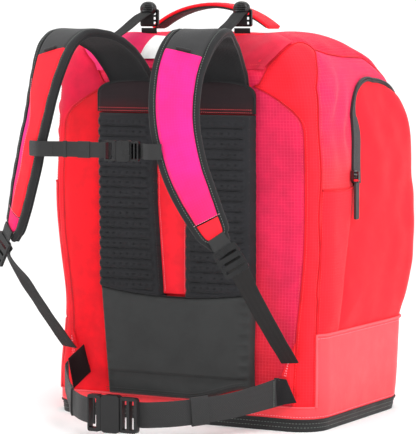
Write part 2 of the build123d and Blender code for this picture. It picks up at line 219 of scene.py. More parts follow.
def stitch_row(path, pitch=3.4, length=2.3, radius=0.38):
    """Short rounded stitches along a path."""
    path = np.asarray(path, float)
    total = length_along(path)[-1]
    count = max(int(total / pitch), 2)
    points = resample(path, count)
    tangent = unit(np.gradient(points, axis=0))
    side = unit(np.cross(tangent, STITCH_UP))
    other = np.cross(side, tangent)
    along = np.array([-1, -0.6, 0.6, 1]) * length / 2
    size = np.array([0.35, 1, 1, 0.35]) * radius
    angle = np.linspace(0, 2 * PI, 6, endpoint=False)
    verts = (points[:, None, None] + tangent[:, None, None] * along[None, :, None, None]
             + (side[:, None, None] * np.cos(angle)[None, None, :, None]
                + other[:, None, None] * np.sin(angle)[None, None, :, None]) * size[None, :, None, None])
    faces = []
    for i in range(count):
        base = i * 24
        faces += grid_faces(4, 6, base, wrap=True)
        faces += [tuple(base + k for k in range(6))[::-1], tuple(base + 18 + k for k in range(6))]
    return verts.reshape(-1, 3), faces, np.zeros((count * 24, 2))


def stitches(name, paths, material, body="bag", slot=None, **options):
    v, f, u = join_data([stitch_row(p, **options) for p in paths])
    return make_object(name, v, f, material, body, u)


# ---- materials ----------------------------------------------------------------------------
class Nodes:
    """Short names for building a node tree."""

    def __init__(self, name):
        self.mat = bpy.data.materials.new(name)
        self.mat.use_nodes = True
        self.tree = self.mat.node_tree
        self.bsdf = self.tree.nodes["Principled BSDF"]

    def add(self, kind, inputs=(), **props):
        node = self.tree.nodes.new(kind)
        for key, value in props.items():
            setattr(node, key, value)
        for key, value in dict(inputs).items():
            if isinstance(value, bpy.types.NodeSocket):
                self.tree.links.new(value, node.inputs[key])
            else:
                node.inputs[key].default_value = value
        return node

    def math(self, operation, a, b=0.0, c=0.0):
        return self.add("ShaderNodeMath", {0: a, 1: b, 2: c}, operation=operation).outputs[0]

    def mix(self, factor, a, b, blend="MIX"):
        node = self.add("ShaderNodeMix", {0: factor, 6: a, 7: b}, data_type="RGBA", blend_type=blend)
        return node.outputs[2]

    def remap(self, value, lo, hi, to_lo=0.0, to_hi=1.0):
        return self.add("ShaderNodeMapRange", {0: value, 1: lo, 2: hi, 3: to_lo, 4: to_hi},
                        interpolation_type="SMOOTHSTEP").outputs[0]

    def position(self):
        coords = self.add("ShaderNodeTexCoord").outputs["Object"]
        return coords, self.add("ShaderNodeSeparateXYZ", {0: coords}).outputs

    def uv(self):
        return self.add("ShaderNodeSeparateXYZ", {0: self.add("ShaderNodeTexCoord").outputs["UV"]}).outputs

    def noise(self, vector, scale, detail=3.0):
        return self.add("ShaderNodeTexNoise",
                        {"Vector": vector, "Scale": scale, "Detail": detail, "Roughness": 0.55}).outputs[0]

    def bump(self, height, distance, strength=1.0, normal=None):
        inputs = {"Height": height, "Distance": distance, "Strength": strength}
        if normal is not None:
            inputs["Normal"] = normal
        return self.add("ShaderNodeBump", inputs).outputs[0]

    def done(self, color, roughness, normal=None, **constants):
        for key, value in (("Base Color", color), ("Roughness", roughness), ("Normal", normal)):
            if value is None:
                continue
            if isinstance(value, bpy.types.NodeSocket):
                self.tree.links.new(value, self.bsdf.inputs[key])
            else:
                self.bsdf.inputs[key].default_value = value
        for key, value in constants.items():
            self.bsdf.inputs[key].default_value = value
        return self.mat


def rgb(r, g, b):
    return (r, g, b, 1.0)


RED = (0.86, 0.014, 0.026)
DEEP_RED = (0.70, 0.009, 0.018)
HOT_PINK = (0.90, 0.018, 0.22)
CORAL = (0.90, 0.050, 0.066)


def cloth_material(name, low, high, along=2, lo=0.2, hi=0.5, weave="plain", pitch=0.9, depth=0.00012,
                   grid=0.0, grid_tint=0.25, rough=0.74, sheen=0.04, spec=0.13, wear=0.12, tilt=0.0):
    """Woven fabric: colour from low to high along an axis, weave and ripstop grid from the UV map."""
    n = Nodes(name)
    coords, xyz = n.position()
    u, v = n.uv()[0], n.uv()[1]
    color = rgb(*low)
    # Colour from low to high along an axis. On the gusset, top, flap and left corner cloths this gradient is
    # painted shade.
    if high is not None:
        place = xyz[along]
        if tilt:
            place = n.math("MULTIPLY_ADD", xyz[0], tilt, place)
        place = n.math("ADD", place, n.math("MULTIPLY", n.noise(coords, 14.0), 0.05))
        color = n.mix(n.remap(place, lo, hi), rgb(*low), rgb(*high))
    k = 2 * PI / (pitch * MM)
    if weave == "twill":
        wave = n.math("SINE", n.math("MULTIPLY", n.math("ADD", u, n.math("MULTIPLY", v, 0.55)), k))
        fine = n.math("SINE", n.math("MULTIPLY", v, k * 1.7))
        height = n.math("MULTIPLY_ADD", wave, 0.35, n.math("MULTIPLY_ADD", fine, 0.12, 0.5))
    elif weave == "web":
        across = n.math("PINGPONG", u, 0.0035)
        wave = n.math("SINE", n.math("MULTIPLY", n.math("ADD", v, across), k))
        ridge = n.math("SINE", n.math("MULTIPLY", u, 2 * PI / 0.0018))
        height = n.math("MULTIPLY_ADD", wave, 0.35, n.math("MULTIPLY_ADD", ridge, 0.15, 0.5))
    elif weave == "mesh":
        cell = n.add("ShaderNodeCombineXYZ",
                     {0: n.math("MULTIPLY", u, 1.0 / (pitch * MM)),
                      1: n.math("MULTIPLY", v, 1.0 / (pitch * MM))})
        dots = n.add("ShaderNodeTexVoronoi",
                     {"Vector": cell.outputs[0], "Scale": 1.0, "Randomness": 0.15}).outputs["Distance"]
        height = n.remap(dots, 0.1, 0.5)
    else:
        wave = n.math("MULTIPLY", n.math("SINE", n.math("MULTIPLY", u, k)),
                      n.math("SINE", n.math("MULTIPLY", v, k)))
        height = n.math("MULTIPLY_ADD", wave, 0.5, 0.5)
    if grid:
        lines = n.math("MAXIMUM",
                       *[n.remap(n.math("ABSOLUTE",
                                        n.math("SINE", n.math("MULTIPLY", w, PI / (grid * MM)))), 0.30,
                                 0.02) for w in (u, v)])
        color = n.mix(n.math("MULTIPLY", lines, grid_tint), color, rgb(1.0, 0.35, 0.42))
        height = n.math("ADD", height, n.math("MULTIPLY", lines, 0.9))
    cloud = n.noise(coords, 38.0, 4.0)
    shade = n.math("MULTIPLY_ADD", height, 0.10, n.remap(cloud, 0.3, 0.7, 0.93 - wear, 1.0))
    tinted = n.mix(1.0, color, shade, "MULTIPLY")
    fuzz = n.noise(coords, 900.0, 2.0)
    height = n.math("ADD", height, n.math("MULTIPLY", fuzz, 0.35))
    normal = n.bump(height, depth, 0.8)
    normal = n.bump(n.noise(coords, 55.0, 3.0), 0.0009, 0.35, normal)
    roughness = n.remap(cloud, 0.3, 0.7, rough - 0.06, rough + 0.08)
    return n.done(tinted, roughness, normal,
                  **{"Sheen Weight": sheen, "Sheen Roughness": 0.4, "Specular IOR Level": spec})


def plastic_material(name, color, rough=0.36, coat=0.0, grain=0.00006, spec=0.5, scale=700.0):
    """Moulded plastic or lacquered metal: fine moulded grain, handling marks in the roughness."""
    n = Nodes(name)
    coords, _ = n.position()
    grain_noise = n.noise(coords, scale, 2.0)
    cloud = n.noise(coords, 60.0, 4.0)
    streak = n.noise(n.add("ShaderNodeMapping", {"Vector": coords, "Scale": (1.0, 1.0, 9.0)}).outputs[0],
                     120.0, 3.0)
    worn = n.remap(streak, 0.55, 0.8)
    color = n.mix(n.math("MULTIPLY", worn, 0.1), rgb(*color),
                  rgb(*[min(1, c * 2.0 + 0.02) for c in color]))
    roughness = n.math("ADD", n.remap(cloud, 0.3, 0.7, rough - 0.05, rough + 0.07),
                       n.math("MULTIPLY", worn, 0.03))
    normal = n.bump(grain_noise, grain, 0.6)
    return n.done(color, roughness, normal,
                  **{"Specular IOR Level": spec, "Coat Weight": coat, "Coat Roughness": 0.12})


# Each cloth: material name, colour, colour at the far end of its gradient, options of cloth_material.
CLOTHS = {
    "red": ("red_cloth", DEEP_RED, RED, dict(lo=0.02, hi=0.30, pitch=1.1, rough=0.66)),
    "door": ("door_cloth", RED, (0.88, 0.012, 0.026), dict(lo=0.34, hi=0.46, pitch=1.3, rough=0.66)),
    "left_wing": ("left_wing_cloth", (0.88, 0.010, 0.020), (0.60, 0.008, 0.016),
        dict(lo=0.3, weave="twill", pitch=1.6, depth=0.00022, rough=0.7)),
    "ripstop": ("ripstop_cloth", (0.62, 0.014, 0.030), (0.68, 0.016, 0.075),
        dict(lo=0.42, hi=0.66, tilt=2.4, pitch=1.0, grid=4.5, grid_tint=0.07, depth=0.00018, rough=0.68)),
    # The gusset darkens to magenta towards its top: painted shade.
    "gusset": ("gusset_cloth", RED, (0.74, 0.008, 0.075),
        dict(lo=0.34, hi=0.48, pitch=1.1, grid=4.5, grid_tint=0.06, rough=0.62, spec=0.35)),
    # The top cloth is pinker and a little darker towards its lower edge: painted shade.
    "top": ("top_cloth", (0.80, 0.016, 0.10), (0.84, 0.016, 0.05),
        dict(lo=0.46, hi=0.53, pitch=1.1, grid=4.5, grid_tint=0.08, rough=0.62)),
    # The flap darkens from pink on the left to deep red on the right: painted shade.
    "flap": ("flap_cloth", (0.86, 0.014, 0.15), (0.60, 0.014, 0.045),
        dict(along=0, lo=-0.10, hi=0.03, pitch=1.0, rough=0.62, spec=0.28)),
    # The left corner strip darkens to magenta towards its top: painted shade.
    "left_corner": ("left_corner_cloth", (0.84, 0.012, 0.024), (0.66, 0.012, 0.05),
        dict(lo=0.40, hi=0.47, weave="twill", pitch=1.6, depth=0.00018, rough=0.68)),
    "bright_red": ("bright_red_cloth", (0.84, 0.014, 0.024), (0.88, 0.015, 0.030),
        dict(lo=0.06, hi=0.4, pitch=1.4, grid=4.0, grid_tint=0.03, rough=0.64)),
    "coral": ("coral_coated_cloth", (0.88, 0.038, 0.050), CORAL,
        dict(lo=0.02, hi=0.12, weave="twill", pitch=1.8, depth=0.00008, rough=0.5, sheen=0.02,
             spec=0.35, wear=0.08)),
    "piping": ("coral_piping", (0.95, 0.085, 0.105), None, dict(rough=0.5, sheen=0.03, spec=0.3)),
    "red_piping": ("red_piping", (0.60, 0.012, 0.022), None, dict(rough=0.6)),
    "pad": ("pad_cloth", (0.017, 0.017, 0.019), (0.021, 0.021, 0.024),
        dict(lo=0.1, hi=0.4, weave="mesh", pitch=1.5, depth=0.0003, rough=0.8, sheen=0.12,
             spec=0.2, wear=0.2)),
    "pad_border": ("pad_border_cloth", (0.012, 0.012, 0.013), None, dict(rough=0.75, sheen=0.1)),
    "lumbar": ("lumbar_cloth", (0.022, 0.023, 0.023), (0.036, 0.037, 0.037),
        dict(lo=0.060, hi=0.085, weave="twill", pitch=1.4, depth=0.00018, rough=0.75, sheen=0.12,
             spec=0.2, wear=0.18)),
    "yoke": ("yoke_cloth", (0.075, 0.010, 0.013), (0.022, 0.014, 0.016),
        dict(lo=0.42, hi=0.472, weave="mesh", pitch=1.7, depth=0.0004, rough=0.8, sheen=0.12)),
    "strap_pink": ("strap_pink_cloth", (0.90, 0.016, 0.13), HOT_PINK,
        dict(lo=0.31, hi=0.42, pitch=1.1, grid=3.5, grid_tint=0.02, rough=0.64)),
    "strap_red": ("strap_red_cloth", (0.88, 0.016, 0.030), None, dict(pitch=1.1, rough=0.62)),
    "strap_grey": ("strap_grey_cloth", (0.040, 0.040, 0.041), None, dict(pitch=1.2, rough=0.8, sheen=0.12)),
    "strap_lining": ("strap_lining_mesh", (0.013, 0.013, 0.014), None,
        dict(weave="mesh", pitch=2.0, depth=0.0004, rough=0.85, sheen=0.12, wear=0.2)),
    "binding": ("black_binding", (0.019, 0.019, 0.020), None,
        dict(weave="twill", pitch=1.0, depth=0.00015, rough=0.7, sheen=0.08)),
    "webbing": ("black_webbing_cloth", (0.019, 0.019, 0.0195), None,
        dict(weave="web", pitch=2.2, depth=0.00035, rough=0.62, sheen=0.1, spec=0.3)),
    "dark_webbing": ("dark_webbing_cloth", (0.013, 0.013, 0.013), None,
        dict(weave="web", pitch=2.2, depth=0.00035, rough=0.7, sheen=0.03, spec=0.2)),
    "wing_inner": ("wing_lining_cloth", (0.013, 0.004, 0.005), None,
        dict(weave="twill", pitch=1.6, rough=0.8, sheen=0.03, spec=0.15)),
    "wing": ("hip_wing_cloth", (0.012, 0.011, 0.012), None, dict(pitch=1.0, rough=0.75, sheen=0.08)),
    "tape": ("zip_tape_cloth", (0.030, 0.030, 0.032), None,
        dict(weave="twill", pitch=1.1, rough=0.6, sheen=0.2)),
    "tray": ("tray_cloth", (0.013, 0.013, 0.0135), None,
        dict(weave="twill", pitch=1.5, depth=0.00015, rough=0.6, sheen=0.03, spec=0.35)),
    "label": ("white_satin_label", (0.80, 0.80, 0.79), None,
        dict(pitch=0.6, depth=0.00006, rough=0.45, sheen=0.1)),
}
# Each moulded part or thread: material name, colour, options of plastic_material.
PLASTICS = {
    "thread_grey": ("grey_green_thread", (0.16, 0.19, 0.17), dict(rough=0.6, scale=2000.0)),
    "thread_red": ("red_thread", (0.75, 0.06, 0.07), dict(rough=0.6, scale=2000.0)),
    "thread_pale": ("pale_pink_thread", (0.95, 0.35, 0.45), dict(rough=0.6, scale=2000.0)),
    "thread_black": ("black_thread", (0.03, 0.03, 0.03), dict(rough=0.55, scale=2000.0)),
    "acetal": ("black_acetal_gloss", (0.006, 0.006, 0.0065), dict(rough=0.27, coat=0.12, spec=0.35)),
    "acetal_matt": ("black_acetal_matt", (0.009, 0.009, 0.0095), dict(grain=0.00012, spec=0.3)),
    "zip_metal": ("black_lacquered_metal", (0.012, 0.012, 0.013), dict(rough=0.22, coat=0.5, spec=0.6)),
    "pull": ("black_pull_rubber", (0.018, 0.018, 0.019), dict(rough=0.5, grain=0.0001)),
    "coil": ("black_zip_coil", (0.02, 0.02, 0.021), dict(rough=0.35, scale=1500.0)),
    "sheet": ("stiff_grey_sheet", (0.05, 0.05, 0.052), dict(rough=0.5, grain=0.0002)),
}
M = {key: cloth_material(name, low, high, **more) for key, (name, low, high, more) in CLOTHS.items()}
M.update({key: plastic_material(name, color, **more) for key, (name, color, more) in PLASTICS.items()})

# ---- the bag's skin as one surface ----------------------------------------------------------
# Running height h, level z, half width, front face, rear face, share of the corner radii.
LEVELS = np.array([
    (0, 0, 205, 148, -152, 1.0), (16, 16, 207, 150, -152, 1.0), (130, 130, 210, 160, -152, 1.0),
    (230, 230, 213, 172, -152, 1.0), (320, 320, 214, 177, -152, 1.0), (380, 380, 213, 171, -152, 1.0),
    (430, 430, 210, 150, -152, 1.0), (470, 470, 204, 116, -152, 1.0), (500, 500, 192, 74, -149, 0.95),
    (532, 520, 172, 34, -140, 0.9), (570, 531, 140, -6, -118, 0.8), (625, 533.5, 80, -38, -92, 0.55),
    (690, 534, 12, -62, -68, 0.12)], float)
REAR_RADIUS, FRONT_RADIUS = 40.0, 62.0
BACK_END, CORNER_END, SIDE_END, FRONT_CORNER_END, ROUND = 165.0, 228.0, 455.0, 552.0, 700.0


def pchip(x, y, xs):
    """Monotone cubic through (x, y) at xs."""
    h = np.diff(x)
    d = np.diff(y) / h
    m = np.zeros_like(y)
    for i in range(1, len(y) - 1):
        if d[i - 1] * d[i] > 0:
            w1, w2 = 2 * h[i] + h[i - 1], h[i] + 2 * h[i - 1]
            m[i] = (w1 + w2) / (w1 / d[i - 1] + w2 / d[i])
    m[0], m[-1] = d[0], d[-1]
    i = np.clip(np.searchsorted(x, xs) - 1, 0, len(h) - 1)
    t = (xs - x[i]) / h[i]
    return ((2 * t ** 3 - 3 * t ** 2 + 1) * y[i] + (t ** 3 - 2 * t ** 2 + t) * h[i] * m[i]
            + (-2 * t ** 3 + 3 * t ** 2) * y[i + 1] + (t ** 3 - t ** 2) * h[i] * m[i + 1])


TABLE_H = np.arange(0, 691, 1.0)
TABLE = np.stack([pchip(LEVELS[:, 0], LEVELS[:, k], TABLE_H) for k in range(1, 6)], 1)


def section(h):
    """Level, half width, front, rear, rear corner radius and front corner radius at running height h."""
    z, half, front, rear, share = (np.interp(h, TABLE_H, TABLE[:, k]) for k in range(5))
    room = np.minimum(half, (front - rear) / 2) * 0.92
    return z, half, front, rear, np.minimum(REAR_RADIUS * share, room), np.minimum(FRONT_RADIUS * share, room)


def skin(a, h):
    """Point on the bag's skin: a runs round from the middle of the back, + on the right, h up the wall."""
    a, h = np.asarray(a, float), np.asarray(h, float)
    a = (a + ROUND) % (2 * ROUND) - ROUND
    sign, a = np.where(a < 0, -1.0, 1.0), np.abs(a)
    z, half, front, rear, r, rf = section(h)
    y0, y1 = rear + r, front - rf
    t = np.clip((a - BACK_END) / (CORNER_END - BACK_END), 0, 1) * PI / 2
    f = np.clip((a - CORNER_END) / (SIDE_END - CORNER_END), 0, 1)
    q = np.clip((a - SIDE_END) / (FRONT_CORNER_END - SIDE_END), 0, 1) * PI / 2
    x = np.where(a < BACK_END, a / BACK_END * (half - r), half - r + r * np.sin(t))
    x = np.where(a > SIDE_END, half - rf + rf * np.cos(q), x)
    x = np.where(a > FRONT_CORNER_END, (ROUND - a) / (ROUND - FRONT_CORNER_END) * (half - rf), x)
    y = np.where(a < CORNER_END, rear + r - r * np.cos(t), y0 + f * (y1 - y0))
    y = np.where(a > SIDE_END, y1 + rf * np.sin(q), y)
    sag = np.where(sign < 0, 13.0, 1.5) * bump(h, 165, 75) * bump(a, 212, 60)
    return np.stack([sign * (x - sag), y, z + 0 * a], -1)


def skin_normal(a, h):
    e = 1.5
    da = skin(a + e, h) - skin(a - e, h)
    dh = skin(a, np.minimum(h + e, 689)) - skin(a, np.maximum(h - e, 0))
    return unit(np.cross(da, dh))


def a_of_y(y, h):
    """a on the right side at depth y."""
    _, _, front, rear, r, rf = section(h)
    y0, y1 = rear + r, front - rf
    corner = BACK_END + (CORNER_END - BACK_END) * np.arccos(np.clip((y0 - y) / r, 0, 1)) / (PI / 2)
    side = CORNER_END + (SIDE_END - CORNER_END) * (y - y0) / (y1 - y0)
    front_corner = (SIDE_END
                    + (FRONT_CORNER_END - SIDE_END) * np.arcsin(np.clip((y - y1) / rf, 0, 1)) / (PI / 2))
    return np.where(y < y0, corner, np.where(y > y1, front_corner, side))


def a_of_x(x, h, front=False):
    """a on the back, or on the front, at that x."""
    _, half, _, _, r, rf = section(h)
    ax = np.abs(x)
    if not front:
        edge = half - r
        bend = np.arcsin(np.clip((ax - edge) / r, 0, 1)) / (PI / 2)
        a = np.where(ax < edge, BACK_END * ax / edge, BACK_END + (CORNER_END - BACK_END) * bend)
        return np.sign(x) * a
    edge = half - rf
    a = np.where(ax < edge, ROUND - (ROUND - FRONT_CORNER_END) * ax / edge,
                 FRONT_CORNER_END
                 - (FRONT_CORNER_END - SIDE_END) * np.arcsin(np.clip((ax - edge) / rf, 0, 1)) / (PI / 2))
    return np.where(x < 0, 2 * ROUND - a, a)


def dense(loop, step, closed=True):
    """More points on each edge of a polyline, none further apart than step."""
    loop = [np.asarray(p, float) for p in loop]
    out = []
    pairs = zip(loop, loop[1:] + loop[:1]) if closed else zip(loop, loop[1:])
    for p, q in pairs:
        count = max(int(np.ceil(np.linalg.norm(q - p) / step)), 1)
        out += [p + (q - p) * i / count for i in range(count)]
    if not closed:
        out.append(loop[-1])
    return np.array(out)


def inside(points, loop):
    """Which of the points lie inside a closed polyline."""
    x, y = points[:, 0], points[:, 1]
    hit = np.zeros(len(points), bool)
    for p, q in zip(loop, np.roll(loop, -1, axis=0)):
        crosses = (p[1] > y) != (q[1] > y)
        with np.errstate(divide="ignore", invalid="ignore"):
            at = (q[0] - p[0]) * (y - p[1]) / (q[1] - p[1]) + p[0]
        hit ^= crosses & (x < at)
    return hit


def distance_to(points, loop, closed=True):
    """Distance from each point to a polyline."""
    best = np.full(len(points), 1e9)
    ends = np.roll(loop, -1, axis=0) if closed else loop[1:]
    starts = loop if closed else loop[:-1]
    for p, q in zip(starts, ends):
        d = q - p
        t = np.clip(((points - p) @ d) / max(d @ d, 1e-9), 0, 1)
        best = np.minimum(best, np.linalg.norm(points - (p + t[:, None] * d), axis=1))
    return best


def sag(points):
    """The slow unevenness that the whole skin shares, in mm outwards."""
    return 1.3 * noise(points, 95, 1) + 0.5 * noise(points, 38, 2)


def on_skin(a, h, lift=0.0):
    """Points in mm on the uneven skin, lifted along its normal."""
    p = skin(a, h)
    low = smooth(np.asarray(h, float), 4, 40)
    return p + skin_normal(a, h) * (sag(p) * low + lift)[..., None]


def cloth(name, loop, material, body="bag", holes=(), crown=3.0, fall=18.0, seam=-1.0, base=0.0,
          wrinkle=None, thick=2.0, step=4.0, replaces=(), lift_extra=None):
    """A sewn panel of the skin: a closed cloth sheet over a loop of (a, h) points."""
    loop = dense(loop, step)
    hole_loops = [dense(hole, step) for hole in holes]
    lo, hi = loop.min(0), loop.max(0)
    gx, gy = np.meshgrid(np.arange(lo[0] + step * 0.5, hi[0], step),
                         np.arange(lo[1] + step * 0.45, hi[1], step * 0.92))
    gx = gx + (np.arange(gx.shape[0]) % 2)[:, None] * step * 0.5
    pts = np.stack([gx.ravel(), gy.ravel()], 1)
    keep = inside(pts, loop) & (distance_to(pts, loop) > step * 0.55)
    for hole in hole_loops:
        keep &= ~inside(pts, hole) & (distance_to(pts, hole) > step * 0.55)
    pts = pts[keep]
    coords = [loop, *hole_loops, pts]
    edges, offset = [], 0
    for ring in [loop, *hole_loops]:
        edges += [(offset + i, offset + (i + 1) % len(ring)) for i in range(len(ring))]
        offset += len(ring)
    flat = np.vstack(coords)
    out, _, tris, *_ = delaunay_2d_cdt([Vector(p) for p in flat], edges, [], 0, 1e-5)
    uv = np.array([(p.x, p.y) for p in out])
    tris = np.array([t for t in tris if len(t) == 3])
    mid = uv[tris].mean(1)
    good = inside(mid, loop)
    for hole in hole_loops:
        good &= ~inside(mid, hole)
    tris = tris[good]
    used = np.unique(tris)
    renumber = np.full(len(uv), -1)
    renumber[used] = np.arange(len(used))
    uv, tris = uv[used], renumber[tris]
    dist = distance_to(uv, loop)
    for hole in hole_loops:
        dist = np.minimum(dist, distance_to(uv, hole))
    a, h = uv[:, 0], uv[:, 1]
    p, nrm = skin(a, h), skin_normal(a, h)
    lift = seam + (crown - seam) * (1 - np.exp(-dist / fall)) + base
    if wrinkle is not None:
        lift = lift + wrinkle(a, h, p, dist) * smooth(dist, 0, 9)
    if lift_extra is not None:
        lift = lift + lift_extra(a, h, p, dist)
    lift = lift + sag(p) * smooth(h, 4, 40)
    top = p + nrm * lift[:, None]
    low = p + nrm * (lift - thick)[:, None]
    n = len(top)
    faces = [tuple(t) for t in tris] + [tuple(t[::-1] + n) for t in tris]
    seen = {}
    for t in tris:
        for i, j in ((t[0], t[1]), (t[1], t[2]), (t[2], t[0])):
            seen[(i, j)] = True
    for i, j in seen:
        if (j, i) not in seen:
            faces.append((j, i, i + n, j + n))
    obj = make_object(name, np.vstack([top, low]), faces, M[material], body, np.vstack([uv, uv]))
    sharpen(obj, 55)
    if replaces:
        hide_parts(*replaces)
    return obj


def mirrored(loop):
    """The same loop on the left side, still running the same way round."""
    return [(-a, h) for a, h in loop][::-1]


def skin_path(loop, step=4.0, lift=0.0):
    """Points in mm on the skin, along an open run of (a, h)."""
    pts = dense(loop, step, False)
    return on_skin(pts[:, 0], pts[:, 1], lift)


def yz(y, z):
    """(a, h) on the right side for a point seen from that side."""
    return float(a_of_y(np.array(float(y)), np.array(float(z)))), float(z)


def xz(x, z, front=False):
    """(a, h) for a point seen from the harness side, or from the front."""
    return float(a_of_x(np.array(float(x)), np.array(float(z)), front)), float(z)


def front_seam(z):
    """The seam between a side and the front."""
    return xz(168, z, True)


def skin_ribbon(name, path, inner, outer, lift, thick, material, body="bag", slot=None, replaces=(),
                dome=0.0, step=3.0):
    """Narrow strip on the skin beside a path of (a, h); inner and outer are offsets to its left."""
    path = dense(path, step, False)
    tangent = unit(np.gradient(path, axis=0))
    left = np.stack([-tangent[:, 1], tangent[:, 0]], 1)
    n = len(path)
    inner, outer = np.broadcast_to(np.asarray(inner, float),
                                   (n,)), np.broadcast_to(np.asarray(outer, float), (n,))
    share = np.linspace(0, 1, 5)
    off = inner[:, None] + (outer - inner)[:, None] * share[None]
    ah = path[:, None] + left[:, None] * off[..., None]
    hump = dome * (1 - (2 * share[None] - 1) ** 2)
    top = on_skin(ah[..., 0], ah[..., 1], lift + hump + 0 * off)
    low = on_skin(ah[..., 0], ah[..., 1], lift - thick + 0 * off)
    uv = pair(off, length_along(path)[:, None])
    if outer.mean() > inner.mean():
        top, low, uv = top[:, ::-1], low[:, ::-1], uv[:, ::-1]
    obj = slab(name, top, low, uv, M[material], body)
    if replaces:
        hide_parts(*replaces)
    return obj


def skin_sheet(name, a_values, h_low, h_high, rows, material, lift, thick=2.0, replaces=()):
    """A sheet of the skin between two heights, for every a in a_values."""
    a = np.asarray(a_values, float)
    share = np.linspace(0, 1, rows)[:, None]
    hh = h_low[None] + (h_high - h_low)[None] * share
    aa = np.broadcast_to(a[None], hh.shape)
    extra = lift(aa, hh, share)
    uv = np.stack([aa, hh], -1)
    obj = slab(name, on_skin(aa, hh, extra), on_skin(aa, hh, extra - thick), uv, M[material], "bag")
    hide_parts(*replaces)


def arc3(p, m, q, count=10):
    """Points of the circle arc that runs clockwise from p over m to q."""
    p, m, q = (np.array(v, float) for v in (p, m, q))
    d = 2 * (p[0] * (m[1] - q[1]) + m[0] * (q[1] - p[1]) + q[0] * (p[1] - m[1]))
    c = np.array([(p @ p) * (m[1] - q[1]) + (m @ m) * (q[1] - p[1]) + (q @ q) * (p[1] - m[1]),
                  (p @ p) * (q[0] - m[0]) + (m @ m) * (p[0] - q[0]) + (q @ q) * (m[0] - p[0])]) / d
    a0, a2 = (math.atan2(v[1] - c[1], v[0] - c[0]) for v in (p, q))
    while a2 > a0:
        a2 -= 2 * PI
    radius = np.linalg.norm(p - c)
    return [tuple(c + radius * np.array([math.cos(t), math.sin(t)])) for t in np.linspace(a0, a2, count)]


# ---- boot doors and their zips --------------------------------------------------------------
DOOR_LOW, DOOR_NEAR, DOOR_FAR, DOOR_GAP = 331.0, -54.0, 150.0, 1.2


def arch(grow=0.0):
    """The side zip's run in (y, z), from the foot of its near leg over the arch to its far foot."""
    near, far, top, slant = DOOR_NEAR - grow, DOOR_FAR + grow, 468.0 + grow, 0.7 * grow
    foot = DOOR_LOW + (DOOR_GAP if grow < 0 else 0.0)
    run = [(near, foot), (near, 424)]
    run += arc3((near, 424), (near + 22 + 0.3 * grow, top - 11 - 0.2 * grow), (22, top), 14)[1:]
    run += arc3((22, top), (68, 461 + grow), (107 + slant, 443 + slant))[1:]
    run += arc3((107 + slant, 443 + slant), (138 + slant, 418 + slant), (far, 385))[1:]
    return run + [(far, foot)]


def side_loop(points):
    return [yz(y, z) for y, z in points]


def door_wrinkle(a, h, p, dist):
    drop = np.clip((470 - h) / 140, 0, 1)
    a = np.abs(a)
    folds = np.sin(a / 10.5 + 1.2 * np.sin(h / 31.0)) * 0.8 + np.sin(a / 23.0 + h / 70.0) * 1.2
    pull = -1.3 * bump((h - 352) + (a - 300) * 0.12, 0, 7) * bump(a, 300, 26)
    corner = 4.5 * bump(a, 470, 55) * smooth(h, 140, 220)
    return (folds * (0.35 + 0.65 * drop) * (0.45 + 0.55 * smooth(h, 250, 340)) + pull + corner
            + 0.7 * noise(p, 22, 5))


def zip_flare(z):
    """How far the wide tape of the near leg keeps the door's cloth off the zip."""
    return 17.0 * (1 - smooth(z, 396, 458))


def side_wrinkle(a, h, p, dist):
    a = np.abs(a)
    upper = smooth(h, 330, 400)
    pucker = (2.0 * np.sin(h / 5.6 + 0.035 * (a - 215) * np.sin(h / 40.0)) * bump(a, 213, 12)
              * (0.25 + 0.75 * upper))
    pull = 3.4 * np.sin((h * 0.75 - a * 1.15) / 9.5) * bump(h, 430, 36) * bump(a, 250, 34)
    fan = 2.4 * np.sin((h * 0.5 + a * 1.3) / 9.0) * bump(h, 388, 28) * bump(a, 248, 28)
    return pucker + pull + fan + 0.9 * noise(p, 30, 6)


def make_side(sign):
    side = SIDES[sign]
    turn = (lambda loop: loop) if sign > 0 else mirrored
    inner, outer = arch(-DOOR_GAP), arch(0.0)
    front = [front_seam(z) for z in (332, 360, 400, 432)]
    top_seam = [yz(y, z) for y, z in ((130, 446), (107, 456), (64, 478), (20, 500), (-40, 502), (-80, 508))]
    rear = [(rear_seam(z), z) for z in range(456, 130, -12)]
    wall = [(rear_seam(131), 131), yz(-87, 131), yz(-69, 228), yz(-52, 324), *side_loop(outer), *front,
            *top_seam, CREST[-1], *SHOULDER_SEAM, *rear]
    cloth(side + "side_cloth", turn(wall), "gusset", crown=3.0, fall=14, wrinkle=side_wrinkle,
          replaces=[side + "side_wall"])
    low_front = [front_seam(z) for z in (131, 180, 230, 280, 330)]
    far_foot = side_loop(inner)[-1]
    near_edge = [(y + zip_flare(z), z) if y < 0 else (y, z) for y, z in inner]
    door = [yz(-86, 131), *low_front, (far_foot[0] + 3, 330.6), far_foot, *side_loop(near_edge)[::-1][1:],
            yz(-50, 318), yz(-68, 228)]
    panel = cloth(side + "door_cloth", turn(door), "door", body=None, crown=7.5, fall=30,
                  seam=-0.6, wrinkle=door_wrinkle, replaces=[side + "boot_door"])
    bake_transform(panel)
    run = side_loop(arch(0.0))
    rows = dense(run, 3.0, False)
    flare = zip_flare(rows[:, 1]) * (rows[:, 0] < 330)
    wide, narrow = 2.8 + 0.1 * flare, 2.6 + 1.1 * flare
    s = float(sign)
    run = [(s * a, h) for a, h in run]
    ribbon = dict(slot="zip_tape", step=3.0)
    skin_ribbon(side + "wall_tape", run, s * 0.3, s * wide, 3.4, 3.2, "tape", replaces=[side + "zip_tape"],
                dome=0.3, **ribbon)
    skin_ribbon(side + "door_tape", run, -s * 0.6, -s * (narrow + 0.6), 1.7, 2.4, "tape",
                body=side + "boot_door", replaces=[side + "door_zip"], dome=0.25, **ribbon)
    for part, body, shift in (("wall_coil", "bag", 0.95), ("door_coil", side + "boot_door", -1.15)):
        skin_ribbon(side + part, run, s * (shift - 0.75), s * (shift + 0.75), 2.6, 1.2, "coil", body=body,
                    slot="zip_tape", dome=0.6, step=2.2)
    make_pocket(side, turn)


